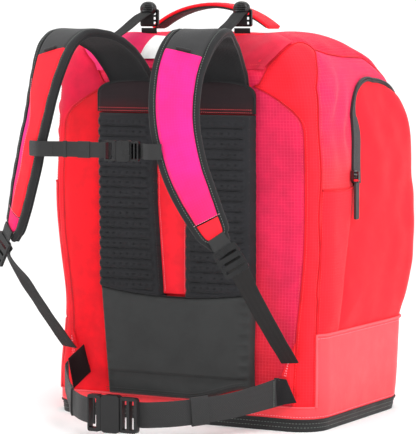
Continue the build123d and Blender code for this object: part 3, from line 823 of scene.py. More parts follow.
def make_pocket(side, turn):
    top, low = 326.0, 131.0
    outline = [(rear_seam(low) + 2, low), yz(-88, low), yz(-70, 228), yz(-51, top), yz(-80, top - 3),
               (rear_seam(top) + 2, top - 1)]
    sewn = np.array([outline[-1], outline[0], outline[1], outline[2], outline[3]])
    if side == "left_":
        sewn = sewn * [-1, 1]

    def lift(a, h, p, dist):
        near = distance_to(np.stack([a, h], 1), sewn, closed=False)
        return 4.4 * (1 - np.exp(-near / 9.0)) - 0.2 + 0.6 * noise(p, 26, 9) * smooth(near, 0, 14)

    loop = turn(outline)
    cloth(side + "pocket_cloth", loop, "bright_red", crown=0.6, seam=0.6, base=0.4, thick=1.6,
          replaces=[side + "side_pocket"], lift_extra=lift)
    hem = [yz(-51, top), yz(-66, top - 1.6), yz(-80, top - 3), yz(-96, top - 2.5),
           (rear_seam(top) + 2, top - 1)]
    hem = hem if side == "right_" else [(-a, h) for a, h in hem]
    path = dense(hem, 3.0, False)
    near = distance_to(path, sewn, closed=False)
    path3 = on_skin(path[:, 0], path[:, 1], 1.0 + 4.4 * (1 - np.exp(-near / 9.0)) - 0.9)
    tubes(side + "pocket_hem", [path3], 1.7, M["red_piping"], sides=10)


# ---- the rest of the skin ---------------------------------------------------------------------
REAR_BAND = 33.0


def wing_seam(z):
    """Seam between the wings of the back and the corner strips."""
    return 169.0 + 11.5 * float(smooth(np.array(float(z)), 30, 260))


def rear_seam(z):
    """Seam between the corner strips and the sides, drawn in a little by its stitching."""
    return 202.0 + 1.2 * math.sin(z / 17.0) * (z > 180)


UPPER_CURVE = [(180.3, 404), (179, 413), (174.5, 422), (166, 431), (150, 443), (134, 453), (113, 463)]
CREST = [(113, 463), (121, 466), (130, 478), (140, 490), (154, 500), (172, 514), (184, 524), (196, 532),
         (208, 538), (216, 536), (222, 528), (226, 517)]
SHOULDER_SEAM = [(224, 509), (216, 496), (208, 476), (203, 462)]


def wing_wrinkle(a, h, p, dist):
    return 1.0 * np.sin(np.abs(a) / 9.0 + h / 60.0) * bump(h, 120, 50) + 1.2 * noise(p, 40, 11)


def corner_wrinkle(a, h, p, dist):
    return (0.8 * np.sin(h / 7.5) * bump(np.abs(a), 199, 8)
            + 1.6 * smooth(h, 400, 470) * bump(np.abs(a), 170, 30) + 0.8 * noise(p, 26, 12))


def make_back():
    for sign in (1, -1):
        side = SIDES[sign]
        turn = (lambda loop: loop) if sign > 0 else mirrored
        seam = [(wing_seam(z), z) for z in (33, 60, 90, 120, 160, 200, 240, 280, 340, 380)]
        wing = [xz(108, 33), *seam, *UPPER_CURVE, xz(108, 464)]
        cloth(side + "wing_cloth", turn(wing), "ripstop" if sign > 0 else "left_wing",
              crown=2.6, fall=16, wrinkle=wing_wrinkle)
        rear = [(rear_seam(z), z) for z in range(45, 457, 12)] + SHOULDER_SEAM[::-1]
        strip = [(wing_seam(33), 33), (rear_seam(33), 33), *rear, *CREST[::-1], *UPPER_CURVE[::-1][1:],
                 *seam[::-1][:-1]]
        cloth(side + "corner_cloth", turn(strip), "bright_red" if sign > 0 else "left_corner",
              crown=2.4, fall=9, wrinkle=corner_wrinkle)
    centre = [xz(-108, 33), xz(108, 33), xz(108, 464), xz(-108, 464)]
    cloth("rear_centre_cloth", centre, "red", crown=0.2, seam=-0.2, step=7.0,
          replaces=["rear_wall"])
    a = np.unique(np.concatenate([np.linspace(-ROUND, ROUND, 241), [q for q, _ in CREST],
                                  [-q for q, _ in CREST]]))
    seam = top_seam_height(a)
    rows = 50

    def over_top(aa, hh, share):
        edge = smooth(share, 0, 0.08)
        slump = (-2.0 * smooth(hh, 560, 640)
                 - 4.0 * bump(skin(aa, hh)[..., 1], -50, 22) * bump(np.abs(skin(aa, hh)[..., 0]), 90, 14))
        return (-1.0 + 3.2 * edge + slump
                + 1.6 * noise(skin(aa, hh), 34, 14) * edge * (1 - smooth(hh, 640, 685)))

    skin_sheet("top_cloth", a, seam, np.full(len(a), 688.0), rows, "top", lift=over_top,
               replaces=["top_panel"])
    ring = np.unique(np.concatenate([np.linspace(-ROUND, ROUND, 300), [-202.0, -201.0, 201.0, 202.0]]))

    def coated(aa, hh, share):
        puff = np.sin(np.clip(share, 0, 1) * PI) ** 0.5
        return -0.6 + 1.8 * puff + 0.35 * noise(skin(aa, hh), 60, 15) * puff

    band_top = np.where(np.abs(ring) < 201.5, REAR_BAND, 130.5)
    skin_sheet("lower_band_cloth", ring, np.full(len(ring), 15.0), band_top, 26, "coral",
               lift=coated, thick=2.4, replaces=["lower_band"])
    top_edge = [(a, 560.0 - 4.0 * abs(a) / 190) for a in np.linspace(-178, 178, 90)]
    tubes("top_edge_piping", [skin_path(top_edge, 5, 2.0)], 3.2, M["bright_red"], sides=12)


def top_seam_height(a):
    """Height of the seam under the top panel at each a."""
    side = [yz(y, z) for y, z in ((-80, 508), (-40, 502), (20, 500), (64, 478), (107, 456), (130, 446))]
    run = CREST + side + [front_seam(432), (ROUND, 432)]
    return np.interp(np.abs(a), [q for q, _ in run], [h for _, h in run])


def make_front():
    grow = -DOOR_GAP
    half, low, top, r = 138.0, 150.0, 405.0, 60.0

    def outline(g):
        hh, tt, rr = half + g, top + g, r + g
        right = [(hh, low - g * (g < 0)), (hh, tt - rr)]
        right += [(hh - rr + rr * math.cos(t), tt - rr + rr * math.sin(t))
                  for t in np.linspace(0, PI / 2, 12)][1:]
        left = [(-x, z) for x, z in right][::-1]
        return right + left

    def ring(points):
        return [xz(x, z, True) for x, z in points]

    wall = [(168, 130)] + [(168, z) for z in (180, 240, 300, 360, 400, 430)]
    wall_loop = (ring(wall) + ring([(140, 432), (80, 432), (0, 432), (-80, 432), (-140, 432)])
                 + ring([(-x, z) for x, z in wall[::-1]]))
    cloth("front_cloth", wall_loop, "red", holes=[ring(outline(0))], crown=2.6, fall=14,
          replaces=["front_wall"], wrinkle=lambda a, h, p, dist: 1.2 * noise(p, 34, 16))
    cloth("main_door_cloth", ring(outline(grow)), "door", body="main_door", crown=8.0,
          fall=34, seam=-0.6, step=5.0, wrinkle=lambda a, h, p,
          dist: 1.6 * np.sin(a / 17.0 + np.sin(h / 50.0)) + 1.0 * noise(p, 30, 17), replaces=["main_door"])
    run = ring(outline(0))
    skin_ribbon("main_wall_tape", run, -0.3, -5.5, 1.1, 1.6, "tape", slot="zip_tape",
                replaces=["main_zip_tape"], dome=0.25)
    skin_ribbon("main_door_tape", run, 0.6, 6.2, 1.2, 1.8, "tape", body="main_door", slot="zip_tape",
                replaces=["main_door_zip"], dome=0.25)
    skin_ribbon("main_wall_coil", run, -0.2, -1.7, 1.9, 1.2, "coil", slot="zip_tape", dome=0.6, step=2.2)
    skin_ribbon("main_door_coil", run, 0.4, 1.9, 1.9, 1.2, "coil", body="main_door", slot="zip_tape",
                dome=0.6, step=2.2)


def make_seams():
    band = [(202.0, 33.0), (202.0, 130.6)] + [(a, 130.6) for a in np.linspace(212, 2 * ROUND - 212, 200)]
    band += [(2 * ROUND - 202.0, 130.6), (2 * ROUND - 202.0, 33.0)]
    tubes("band_piping", [skin_path(band, 6, 0.9)], 1.9, M["piping"], sides=10)
    rear_band = [(a, REAR_BAND + 0.3) for a in np.linspace(-201, 201, 120)]
    tubes("rear_band_piping", [skin_path(rear_band, 6, 0.6)], 1.3, M["piping"],
          sides=8)
    around = [(a, 16.2) for a in np.linspace(-ROUND, ROUND, 240)]
    tubes("tray_piping", [skin_path(around, 8, 0.6)], 1.5, M["tray"])
    seams, rows = [], []
    for s in (1, -1):
        wing = [(wing_seam(z), z) for z in range(34, 403, 8)] + UPPER_CURVE
        side = [(rear_seam(z), z) for z in range(34, 457, 6)] + SHOULDER_SEAM[::-1] + [CREST[-1]]
        seams += [skin_path([(s * a, h) for a, h in line], 4, -0.3) for line in (wing, side, CREST)]
        seams.append(skin_path([(s * front_seam(z)[0], z) for z in range(131, 432, 12)], 6, -0.3))
        slant = [(s * yz(-88 + 37 * t, 131 + 195 * t)[0], 131 + 195 * t) for t in np.linspace(0, 1, 30)]
        seams.append(skin_path(slant, 5, 0.2))
        for line, off in ((wing, 3.0), (wing, -3.0), (side, -3.0), (side, 3.2)):
            rows.append(skin_path([(s * (a + off), h) for a, h in line[:-2]], 4, 1.0))
    a = np.linspace(227, 2 * ROUND - 227, 260)
    seams.append(skin_path(list(zip(a, top_seam_height((a + ROUND) % (2 * ROUND) - ROUND) + 0.2)), 6, -0.2))
    tubes("body_seam_piping", seams, 1.0, M["red_piping"], sides=8)
    stitches("body_stitches", rows, M["thread_red"], slot="red_fabric", pitch=3.6, length=2.2, radius=0.3)
    band_rows = [skin_path([(a, 126.0) for a in np.linspace(205, 2 * ROUND - 205, 240)], 6, 1.2),
                 skin_path([(a, 20.5) for a in np.linspace(-ROUND, ROUND, 240)], 6, 1.2)]
    stitches("band_stitches", band_rows, M["thread_pale"], slot="coral_coated_fabric", pitch=4.2,
             length=2.6, radius=0.3)
    tray_rows = [skin_path([(a, z) for a in np.linspace(-ROUND, ROUND, 240)], 6, 0.25) for z in (6.0, 11.5)]
    stitches("tray_stitches", tray_rows, M["thread_grey"], slot="charcoal_tray", pitch=4.6, length=2.8,
             radius=0.32)


def make_flap():
    """Loose flap over the top of the back panel, gathered between the label and the corner panels."""
    across = np.linspace(-1, 1, 110)[None]
    rise = np.linspace(0, 1, 34)[:, None]
    low = 484.0 - 1.5 * np.sin(across * 5.0)
    hh = low + (558.0 - low) * rise
    edge_a = np.interp(hh, [h for _, h in CREST[:8]] + [600], [a for a, _ in CREST[:8]] + [190]) - 1.5
    aa = across * edge_a
    p = skin(aa, hh)
    lean = (hh - 487) / 14.0 * across
    folds = 2.4 * np.sin(across * 13.0 - lean) + 1.5 * np.sin(across * 27.0 - 1.4 * lean + 0.8)
    near_edge = smooth(1 - np.abs(across), 0.0, 0.10)
    lift = (3.4 + near_edge * (1.6 + folds * (1 - 0.55 * rise)) + 1.4 * (1 - rise) ** 3
            + 0.5 * noise(p, 24, 19))
    lift = np.maximum(lift, 2.7)
    flap = slab("flap_cloth", on_skin(aa, hh, lift), on_skin(aa, hh, lift - 1.6), np.stack([aa, hh], -1),
                M["flap"], "bag")
    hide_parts("rear_flap")
    tubes("flap_hem", [on_skin(aa[0], hh[0], lift[0] - 0.6)], 1.3, M["flap"], sides=10)
    stitches("flap_hem_stitches", [on_skin(aa[0], hh[0] + 5, lift[2] + 0.3)], M["thread_red"],
             slot="pink_fabric", pitch=3.4, radius=0.3)
    rows = np.linspace(0, 1, 18)[:, None]
    cols = np.linspace(0, 1, 16)[None]
    lh = 497 + 44 * rows + 0 * cols
    lx = -62 + 32 * cols + 17 * rows
    la = np.array([[xz(x, h)[0] for x, h in zip(row_x, row_h)] for row_x, row_h in zip(lx, lh)])
    curl = 7.4 + 1.2 * np.sin(cols * 3.0 + rows * 2.0) + 1.2 * (1 - rows) * cols
    label = slab("label_cloth", on_skin(la, lh, curl + 1.4), on_skin(la, lh, curl + 0.7),
                 np.stack([la, lh], -1), M["label"], "bag")
    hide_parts("blank_label")
    edge = on_skin(la, lh, curl + 1.7)
    stitches("label_stitches", [edge[-2, 1:-1], edge[1:-1, 1]], M["thread_pale"], slot="white_label",
             pitch=2.6, length=1.6, radius=0.22)


make_side(1)
make_side(-1)
make_back()
make_front()
make_seams()
make_flap()


# ---- back padding -----------------------------------------------------------------------------
PAD_BACK, PAD_LOW, PAD_TOP, RIB = -152.3, 186.0, 424.0, 14.0
# The yoke reaches this far from the middle on the right and on the left.
YOKE_RIGHT, YOKE_LEFT = 117.0, 125.0


def relief(name, xs, zs, height, material, replaces):
    """Padding on the back: xs and zs are (rows, cols) grids, height is how far it stands out."""
    front = np.stack([xs, PAD_BACK - height, zs], -1)
    back = np.stack([xs, np.full_like(xs, PAD_BACK + 0.4), zs], -1)
    obj = slab(name, front, back, np.stack([xs, zs], -1), M[material], "bag", angle=70)
    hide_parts(*replaces)


def lumbar_top(x):
    return 184.0 - 10.0 * (1 - (np.abs(x) / 116.0) ** 2)


def round_over(distance, radius, depth):
    t = np.clip(distance / radius, 0, 1)
    return depth * np.sqrt(np.clip(1 - (1 - t) ** 2, 0, 1))


def pad_inner(sign, z):
    """Distance from the middle to the inner edge of the right (1) or left (-1) pad."""
    if sign > 0:
        return 12.0 + 8.0 * smooth(z, 250, PAD_TOP)
    return 21.0 + 9.0 * np.clip((z - PAD_LOW) / 120.0, 0, 1) + 2.0 * smooth(z, 306, PAD_TOP)


def pad_outer(sign, z):
    return 117.5 + 0 * z if sign > 0 else 124.0 + 1.6 * smooth(z, PAD_LOW, PAD_TOP)


def make_ribs(sign):
    side = SIDES[sign]
    rows, cols = 190, 78
    s = np.linspace(0, 1, cols)[None]
    t = np.linspace(0, 1, rows)[:, None]
    zz = PAD_LOW + (PAD_TOP - PAD_LOW) * t + 0 * s
    scallop = 1.0 - np.abs(np.sin(PI * zz / RIB))
    inner = pad_inner(sign, zz) + 1.6 * scallop
    outer = pad_outer(sign, zz) - (2.8 if sign < 0 else 0.6) * scallop
    x = inner + (outer - inner) * s
    z = lumbar_top(x) + (PAD_TOP - lumbar_top(x)) * t
    to_inner, to_outer = (x - inner), (outer - x)
    edge = np.minimum(to_inner, to_outer)
    edge = np.minimum(edge, (PAD_TOP + 0.3 - z) * 1.4)
    body = round_over(edge, 6.5, 14.5)
    phase = np.abs(np.sin(PI * z / RIB))
    inner_border = 9.0 + 3.0 * (1 - phase)
    outer_border = (5.0 if sign < 0 else 10.0) + 3.0 * (1 - phase)
    field = (smooth(to_inner, inner_border - 2.0, inner_border + 2.5)
             * smooth(to_outer, outer_border - 2.0, outer_border + 2.5))
    field = field * smooth(z - lumbar_top(x), 1, 7) * smooth(PAD_TOP - z, 3, 8)
    rib = phase ** 0.5
    dash = bump(np.abs(((z / RIB) % 1.0) - 0.5), 0.0, 0.06) * smooth(np.cos(2 * PI * x / 10.5), 0.1, 0.7)
    height = body + field * (6.0 * rib - 3.2) - field * dash * 2.2
    height += 0.35 * noise(np.stack([x, 0 * x, z], -1), 30, 31) * smooth(edge, 0, 8)
    height = height * smooth(z - lumbar_top(x), -4, 3) + 9.0 * (1 - smooth(z - lumbar_top(x), -4, 3))
    if sign < 0:
        x, z, height = -x[:, ::-1], z[:, ::-1], height[:, ::-1]
    relief(side + "pad_cloth", x, z, height, "pad", [side + "back_pad"])
    for name in ("inner", "outer"):
        zz = np.linspace(190, 420, 90)
        at = (pad_inner(sign, zz) + 4.2) if name == "inner" else pad_outer(sign, zz) - 4.2
        depth = round_over(np.full_like(zz, 3.4), 6.5, 14.5)
        path = np.stack([sign * at, PAD_BACK - depth - 0.1, zz], 1)
        stitches(side + "pad_" + name + "_stitches", [path], M["thread_black"], slot="black_mesh", pitch=3.6,
                 length=2.2, radius=0.32)


def make_lumbar():
    rows, cols = 96, 130
    s = np.linspace(-1, 1, cols)[None]
    t = np.linspace(0, 1, rows)[:, None]
    half = np.where(s > 0, 117.0 + 0.5 * t, 109.0 + 12.5 * t)
    x = half * s
    low = 34.0 + 20.0 * smooth(x, 20, 112)
    z = low + (lumbar_top(x) - 1.0 - low) * t
    edge = np.minimum(half - np.abs(x), (z - low) * 1.0 + 0 * x)
    top = lumbar_top(x) - 1.0 - z
    body = round_over(edge, 8.0, 14.0) + 2.6 * smooth(edge, 6, 50)
    height = np.minimum(body, 10.0 + round_over(top, 12.0, 7.0))
    pucker = 2.6 * np.abs(np.sin(z / 4.6)) * bump(x, 106, 7) * smooth(z, 55, 75)
    pucker += 1.4 * np.abs(np.sin(z / 4.6 + 1.0)) * bump(x, -half + 7, 6)
    drape = (1.4 * np.sin((z * 0.9 + x * 0.35) / 15.0) * bump(z, 100, 45)
             + 0.8 * noise(np.stack([x, 0 * x, z], -1), 34, 33))
    fold = -3.4 * (1 - smooth(z, 66.5, 69.5)) * smooth(z, 40, 60)
    height = height - pucker * smooth(edge, 0, 4) + (drape + fold) * smooth(edge, 2, 16)
    relief("lumbar_cloth", x, z, np.maximum(height, 0.8), "lumbar", ["lumbar_pad"])
    xs = np.linspace(-118, 114, 120)
    path = np.stack([xs, np.full_like(xs, PAD_BACK - 10.6), lumbar_top(xs)], 1)
    tubes("lumbar_seam_piping", [path], 1.3, M["pad_border"])
    low_xs = np.linspace(-108, 106, 100)
    low_z = 34.0 + 20.0 * smooth(low_xs, 20, 112) + 6.5
    rows_path = np.stack([low_xs, np.full_like(low_xs, PAD_BACK - 13.9), low_z], 1)
    stitches("lumbar_stitches", [rows_path, rows_path + np.array([0, -1.4, 3.4])], M["thread_black"],
             slot="black_mesh", radius=0.35)


def make_channel():
    rows, cols = 120, 26
    t = np.linspace(0, 1, rows)[:, None]
    s = np.linspace(-1, 1, cols)[None]
    z = 178.0 + (PAD_TOP - 1.0 - 178.0) * t + 0 * s
    left, right = -pad_inner(-1, z) - 1.5, pad_inner(1, z) + 1.5
    x = left + (right - left) * (s + 1) / 2
    height = 5.6 - 1.4 * (1 - s ** 2) + 0.7 * np.sin(z / 9.0 + 2 * s) * (1 - s ** 2) + 0 * x
    relief("channel_cloth", x, z, height, "strap_red", ["spine_channel"])
    rows_paths = []
    for sign in (1, -1):
        zz = np.linspace(182, 420, 80)
        rows_paths.append(np.stack([sign * (pad_inner(sign, zz) - 1.2), np.full_like(zz, PAD_BACK - 5.9),
                                    zz], 1))
    stitches("channel_stitches", rows_paths, M["thread_pale"], slot="red_fabric", pitch=3.2, length=1.9,
             radius=0.32)


def make_yoke():
    rows, cols = 44, 170
    t = np.linspace(0, 1, rows)[:, None]
    s = np.linspace(-1, 1, cols)[None]
    reach = np.where(s > 0, YOKE_RIGHT, YOKE_LEFT)
    x = reach * s + 0 * t
    top = yoke_top(x)
    z = 425.5 + (top - 425.5) * t
    edge = np.minimum(reach - np.abs(x), (top - z))
    height = np.minimum(5.0 + round_over(edge, 6, 4.0), 10.0)
    height = height + 0.7 * noise(np.stack([x, 0 * x, z], -1), 20, 41) * smooth(edge, 0, 8)
    height = np.minimum(height, 6.0 + round_over(z - 425.0, 5.0, 4.0))
    relief("yoke_cloth", x, z, height, "yoke", ["yoke_panel"])
    xs = np.linspace(-YOKE_LEFT, YOKE_RIGHT, 260)
    rim = [(-125.5, PAD_BACK - 5.0, z) for z in np.linspace(426, 450, 12)]
    rim += [(q, PAD_BACK - 6.4, h) for q, h in zip(xs, yoke_top(xs))]
    rim += [(117.5, PAD_BACK - 5.0, z) for z in np.linspace(450, 426, 12)]
    tubes("yoke_binding", [resample(rim, 300)], 2.0, M["binding"], sides=10)
    for k, z in enumerate((427.5, 431.5)):
        xs = np.linspace(-122, 114, 150)
        path = np.stack([xs, np.full_like(xs, PAD_BACK - 9.3 - 0.6 * k), np.full_like(xs, z)], 1)
        stitches("yoke_stitches_%d" % k, [path], M["thread_red"], slot="black_mesh", pitch=3.2, length=2.2,
                 radius=0.35)


def yoke_top(x):
    """Arched top edge of the yoke with rounded shoulders."""
    share = np.abs(np.where(x > 0, x / YOKE_RIGHT, x / YOKE_LEFT))
    return 450.0 + 20.0 * np.clip(1 - share ** 5, 0, 1) ** 0.45


# ---- webbing ----------------------------------------------------------------------------------
def webbing(name, points, across, width, thick, body="bag", slot="black_webbing", replaces=(),
            material="webbing", count=60, cols=13, ripple=0.0):
    """A woven strap along points; across is the direction of its width at each point."""
    widths = np.broadcast_to(np.asarray(width, float), (len(points),))
    rows = curve_through(np.column_stack([points, across, widths]), count)
    path, side, widths = rows[:, :3], rows[:, 3:6], rows[:, 6]
    tangent = unit(np.gradient(path, axis=0))
    side = unit(side - tangent * (side * tangent).sum(1, keepdims=True))
    out = np.cross(tangent, side)
    s = np.linspace(-1, 1, cols)
    half = thick / 2 * (1 - 0.45 * np.abs(s) ** 6)
    spread = path[:, None] + side[:, None] * (s[None, :, None] * widths[:, None, None] / 2)
    wave = ripple * (np.sin(length_along(path) / 9.0)[:, None] * (0.4 + 0.6 * s[None] ** 2))
    front = spread + out[:, None] * (half[None] + wave)[..., None]
    back = spread + out[:, None] * (-half[None] + wave)[..., None]
    uv = pair(s[None] * widths[:, None] / 2, length_along(path)[:, None])
    obj = slab(name, front[:, ::-1], back[:, ::-1], uv[:, ::-1], M[material], body)
    if replaces:
        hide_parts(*replaces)
    return obj, path, side, out


def turn_to(degrees):
    """Level direction at this angle from +X towards +Y."""
    return (math.cos(math.radians(degrees)), math.sin(math.radians(degrees)), 0.0)


SHOULDER = [
    ((72, -149, 455), 0, 66), ((74, -162, 480), 0, 68), ((79, -193, 510), 2, 70),
    ((86, -222, 526), 5, 71), ((93, -250, 535), 9, 72), ((98, -280, 533), 14, 72),
    ((99, -308, 517), 19, 70), ((98, -330, 488), 24, 68), ((100, -344, 454), 28, 66),
    ((104, -351, 420), 30, 64), ((111, -353, 390), 30, 62), ((119, -351, 360), 30, 60),
    ((129, -346, 332), 31, 57), ((140, -339, 304), 32, 51), ((150, -333, 281), 32, 44),
    ((154, -331, 273), 32, 34), ((159, -328.5, 265), 32, 28),
]


class Strap:
    """One padded shoulder strap as a ruled band: rows along it, s from -1 (inner edge) to 1 (outer edge)."""

    def __init__(self, sign):
        rows = [(*p, *turn_to(turn), width, i) for i, (p, turn, width) in enumerate(SHOULDER)]
        rows = curve_through(rows, 200)
        flip = np.array([sign, 1, 1])
        self.path, side = rows[:, :3] * flip, rows[:, 3:6] * flip
        self.width, self.index = rows[:, 6], rows[:, 7]
        tangent = unit(np.gradient(self.path, axis=0))
        self.side = unit(side - tangent * (side * tangent).sum(1, keepdims=True))
        self.out = np.cross(tangent, self.side) * sign
        self.sign, self.along = sign, length_along(self.path)

    def wave(self, s):
        """Creases of the padding where the strap bends."""
        k = self.index[:, None]
        return (1.0 * np.sin(self.along[:, None] / 11.0 + 1.4 * s) * bump(k, 3.2, 1.6)
                + 1.1 * bump(k, 10.6, 0.35) * (s ** 2 - 0.5) * -1 + 0.5 * noise(self.path, 45, 51)[:, None])

    def point(self, s, lift, rows=slice(None)):
        """s in mm from the centre line, lift in mm out of the strap's middle plane, both (rows, cols)."""
        return (self.path[rows][:, None] + self.side[rows][:, None] * s[..., None]
                + self.out[rows][:, None] * lift[..., None])

    def sheet(self, name, rows, s, lift, thick, material, slot="red_fabric"):
        front, back = self.point(s, lift, rows), self.point(s, lift - thick, rows)
        uv = pair(s, self.along[rows][:, None])
        if self.sign > 0:
            front, back, uv = front[:, ::-1], back[:, ::-1], uv[:, ::-1]
        return slab(name, front, back, uv, M[material], "bag")


UPRIGHT = (0, 0, 1.0)
# Place of the right ladder lock, and the way the webbing leaves it.
LOCK = np.array([161.5, -327, 262])
LOCK_DIRECTION = (0.50, 0.15, -0.85)
# How far the strap's outer cloth ends from the strap's edge.
FACE_INSET = 6.6


def make_strap(sign):
    side = SIDES[sign]
    strap = Strap(sign)
    u = np.linspace(-1, 1, 27)[None]
    half = strap.width[:, None] / 2
    wave = strap.wave(u)
    full = 4.4 * (1 - 0.55 * np.abs(u) ** 7)
    pinch = smooth(strap.index[:, None], 0.0, 1.2) * (1 - 0.45 * smooth(strap.index[:, None], 14.2, 16))
    core = strap.sheet(side + "strap_lining", slice(None), u * (half - 1.2),
                       full * (0.55 + 0.45 * pinch) + wave * 0.7 - 0.6, 7.6, "strap_lining", "black_mesh")
    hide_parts(side + "shoulder_strap")
    for edge, label in ((-1, "inner"), (1, "outer")):
        wrap = np.concatenate([np.linspace(5.6, 0.4, 6), np.zeros(7), np.linspace(0.4, 7.5, 6)])
        angle = np.concatenate([np.full(6, PI / 2), np.linspace(PI / 2, -PI / 2, 9)[1:-1],
                                np.full(6, -PI / 2)])
        radius = 4.4 * (0.6 + 0.4 * pinch) - 0.3
        wob = wave[:, [0 if edge < 0 else -1]] * 0.7
        inset = wrap[None] - np.cos(angle)[None] * 3.4 + 3.4
        s_out = edge * (half - inset + 0.2)
        ripple = 0.25 * np.sin(strap.along[:, None] / 4.3 + edge)
        lift_out = np.sin(angle)[None] * radius + wob + ripple * (np.abs(np.sin(angle))[None]) + 0.6
        s_in = edge * (half - inset - 1.1 * np.cos(angle)[None])
        lift_in = np.sin(angle)[None] * (radius - 1.2) + wob + 0.6
        outer = strap.point(s_out, lift_out)
        inner = strap.point(s_in, lift_in)
        uv = pair(np.linspace(0, 24, 19)[None], strap.along[:, None])
        if edge * sign > 0:
            outer, inner, uv = outer[:, ::-1], inner[:, ::-1], uv[:, ::-1]
        outer, inner, uv = outer[:, ::-1], inner[:, ::-1], uv[:, ::-1]
        slab(side + label + "_binding", outer, inner, uv, M["binding"], "bag")
        row = strap.point(edge * (half - 6.4), radius + wob + 0.95)[:, 0]
        stitches(side + label + "_binding_stitches", [row[14:]], M["thread_grey"], slot="black_webbing",
                 pitch=3.4, length=2.1, radius=0.32)

    def between(start, stop):
        return np.where((strap.index >= start) & (strap.index <= stop))[0]

    def outer_height(rows, s):
        """Height of the outer cloth over the strap's middle plane, s from -1 to 1 across it."""
        crown = 2.0 * (1 - s ** 2) * smooth(strap.index[rows][:, None], 4.5, 7) + 0.4
        return 4.3 * (0.62 + 0.38 * pinch[rows]) + crown + strap.wave(np.zeros((1, 1)))[rows] * 0.7

    def billow(rows, s):
        return 0.5 * np.sin(strap.along[rows][:, None] / 13.0 + 2.2 * s) * (1 - s ** 2)

    def face(name, start, stop, material, lo=-1.0, hi=1.0, raise_by=0.0, cols=25, slot="red_fabric"):
        rows = between(start, stop)
        k = strap.index[rows][:, None]
        lo_k, hi_k = (np.asarray(f(k) if callable(f) else np.full_like(k, f)) for f in (lo, hi))
        s = lo_k + (hi_k - lo_k) * np.linspace(0, 1, cols)[None]
        reach = half[rows] - FACE_INSET
        lift = outer_height(rows, s) + raise_by + billow(rows, s)
        lift = lift - 1.4 * bump(k, 10.55, 0.22) * smooth(np.abs(s + 0.1), 1.0, 0.2)
        lift = lift - 2.0 * smooth(np.abs(s * reach) - half[rows], -11.6, -8.6)
        return strap.sheet(name, rows, s * reach, lift, 1.6, material, slot)

    tone = "strap_pink" if sign > 0 else "strap_red"
    grey = face(side + "strap_top_cloth", 0.4, 6.4, "strap_grey", raise_by=0.1, slot="black_mesh")
    if sign > 0:
        main = face(side + "strap_face_cloth", 6.35, 13.3, tone)
    else:
        def slot_edge(k):
            return 1.0 - 0.72 * smooth(k, 7.4, 9.4) + 0.12 * smooth(k, 11, 13.3)
        main = face(side + "strap_face_cloth", 6.35, 13.3, tone, hi=slot_edge, raise_by=0.5)
        under = face(side + "strap_under_cloth", 7.2, 13.3, "strap_pink", lo=lambda k: slot_edge(k) - 0.18,
                     raise_by=-0.9, cols=12)
    low = face(side + "strap_low_cloth", 13.25, 14.75, "strap_red" if sign > 0 else "strap_pink")

    def across_row(k, lift=0.9, lo=-0.95, hi=0.95, count=24):
        row = int(np.argmin(np.abs(strap.index - k)))
        rows, s = slice(row, row + 1), np.linspace(lo, hi, count)[None]
        return strap.point(s * (half[rows] - FACE_INSET), outer_height(rows, s) + lift, rows)[0]

    def along_row(s_of_k, start, stop, lift):
        rows = between(start, stop)
        s = s_of_k(strap.index[rows][:, None])
        height = outer_height(rows, s) + billow(rows, s) + lift
        return strap.point(s * (half[rows] - FACE_INSET), height, rows)[:, 0]

    pale = [across_row(13.22), across_row(14.55, 0.7), across_row(14.72, 0.7)]
    stitches(side + "strap_low_stitches", pale, M["thread_pale"], slot="red_fabric", pitch=2.6, length=1.7,
             radius=0.34)
    edge_s = ((lambda k: 0 * k - 0.80)
              if sign > 0 else (lambda k: 0.93 - 0.72 * smooth(k, 7.4, 9.4) + 0.12 * smooth(k, 11, 13.3)))
    fold = along_row(edge_s, 7.4, 13.2, 0.35 if sign > 0 else 0.55)
    stitches(side + "strap_fold_stitches", [fold], M["thread_red" if sign > 0 else "thread_pale"],
             slot="red_fabric", pitch=2.9, length=1.9, radius=0.30)
    tubes(side + "strap_bar_loop", [across_row(6.3, 2.2, -0.36, 0.36, 16)], 2.0, M["webbing"],
          sides=10)
    # The webbing stub that carries the ladder lock.
    lock = LOCK * [sign, 1, 1]
    along = unit(LOCK_DIRECTION) * [sign, 1, 1]
    start = across_row(14.3, 1.2, -0.01, 0.01, 2)[0]
    end = across_row(15.9, 1.5, -0.01, 0.01, 2)[0]
    cross = strap.side[int(np.argmin(np.abs(strap.index - 15)))]
    mid = (start + end) / 2 + strap.out[-20] * 0.6
    stub_end = lock + along * 7 + strap.out[-1] * 7.0
    webbing(side + "lock_stub", [start, mid, end, stub_end], [cross] * 4, [24, 24, 25, 25], 1.8, count=30)


def wing_quad(side, corners, material):
    """Padded hip wing between four corners: belt top, outer top, outer bottom, belt bottom."""
    a, b, c, d = corners
    s = np.linspace(0, 1, 26)[None, :, None]
    t = np.linspace(0, 1, 30)[:, None, None]
    mid = (a * (1 - s) + b * s) * (1 - t) + (d * (1 - s) + c * s) * t
    out = unit(np.cross(b - a, d - a))
    out = out if out[1] < 0 else -out
    puff = 2.6 * (np.sin(PI * s) * np.sin(PI * t)) ** 0.4 + 0.4 * np.sin(s * 9 + t * 5)
    uv = np.concatenate([s * 30 + 0 * t, t * 38 + 0 * s], -1)
    front, back = mid + out * (0.8 + puff), mid - out * (0.8 + 0.3 * puff)
    if np.cross(b - a, d - a) @ out > 0:
        front, back, uv = front[:, ::-1], back[:, ::-1], uv[:, ::-1]
    obj = slab(side + "wing_pad", front, back, uv, M[material], "bag")
    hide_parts(side + "hip_wing")
    return obj


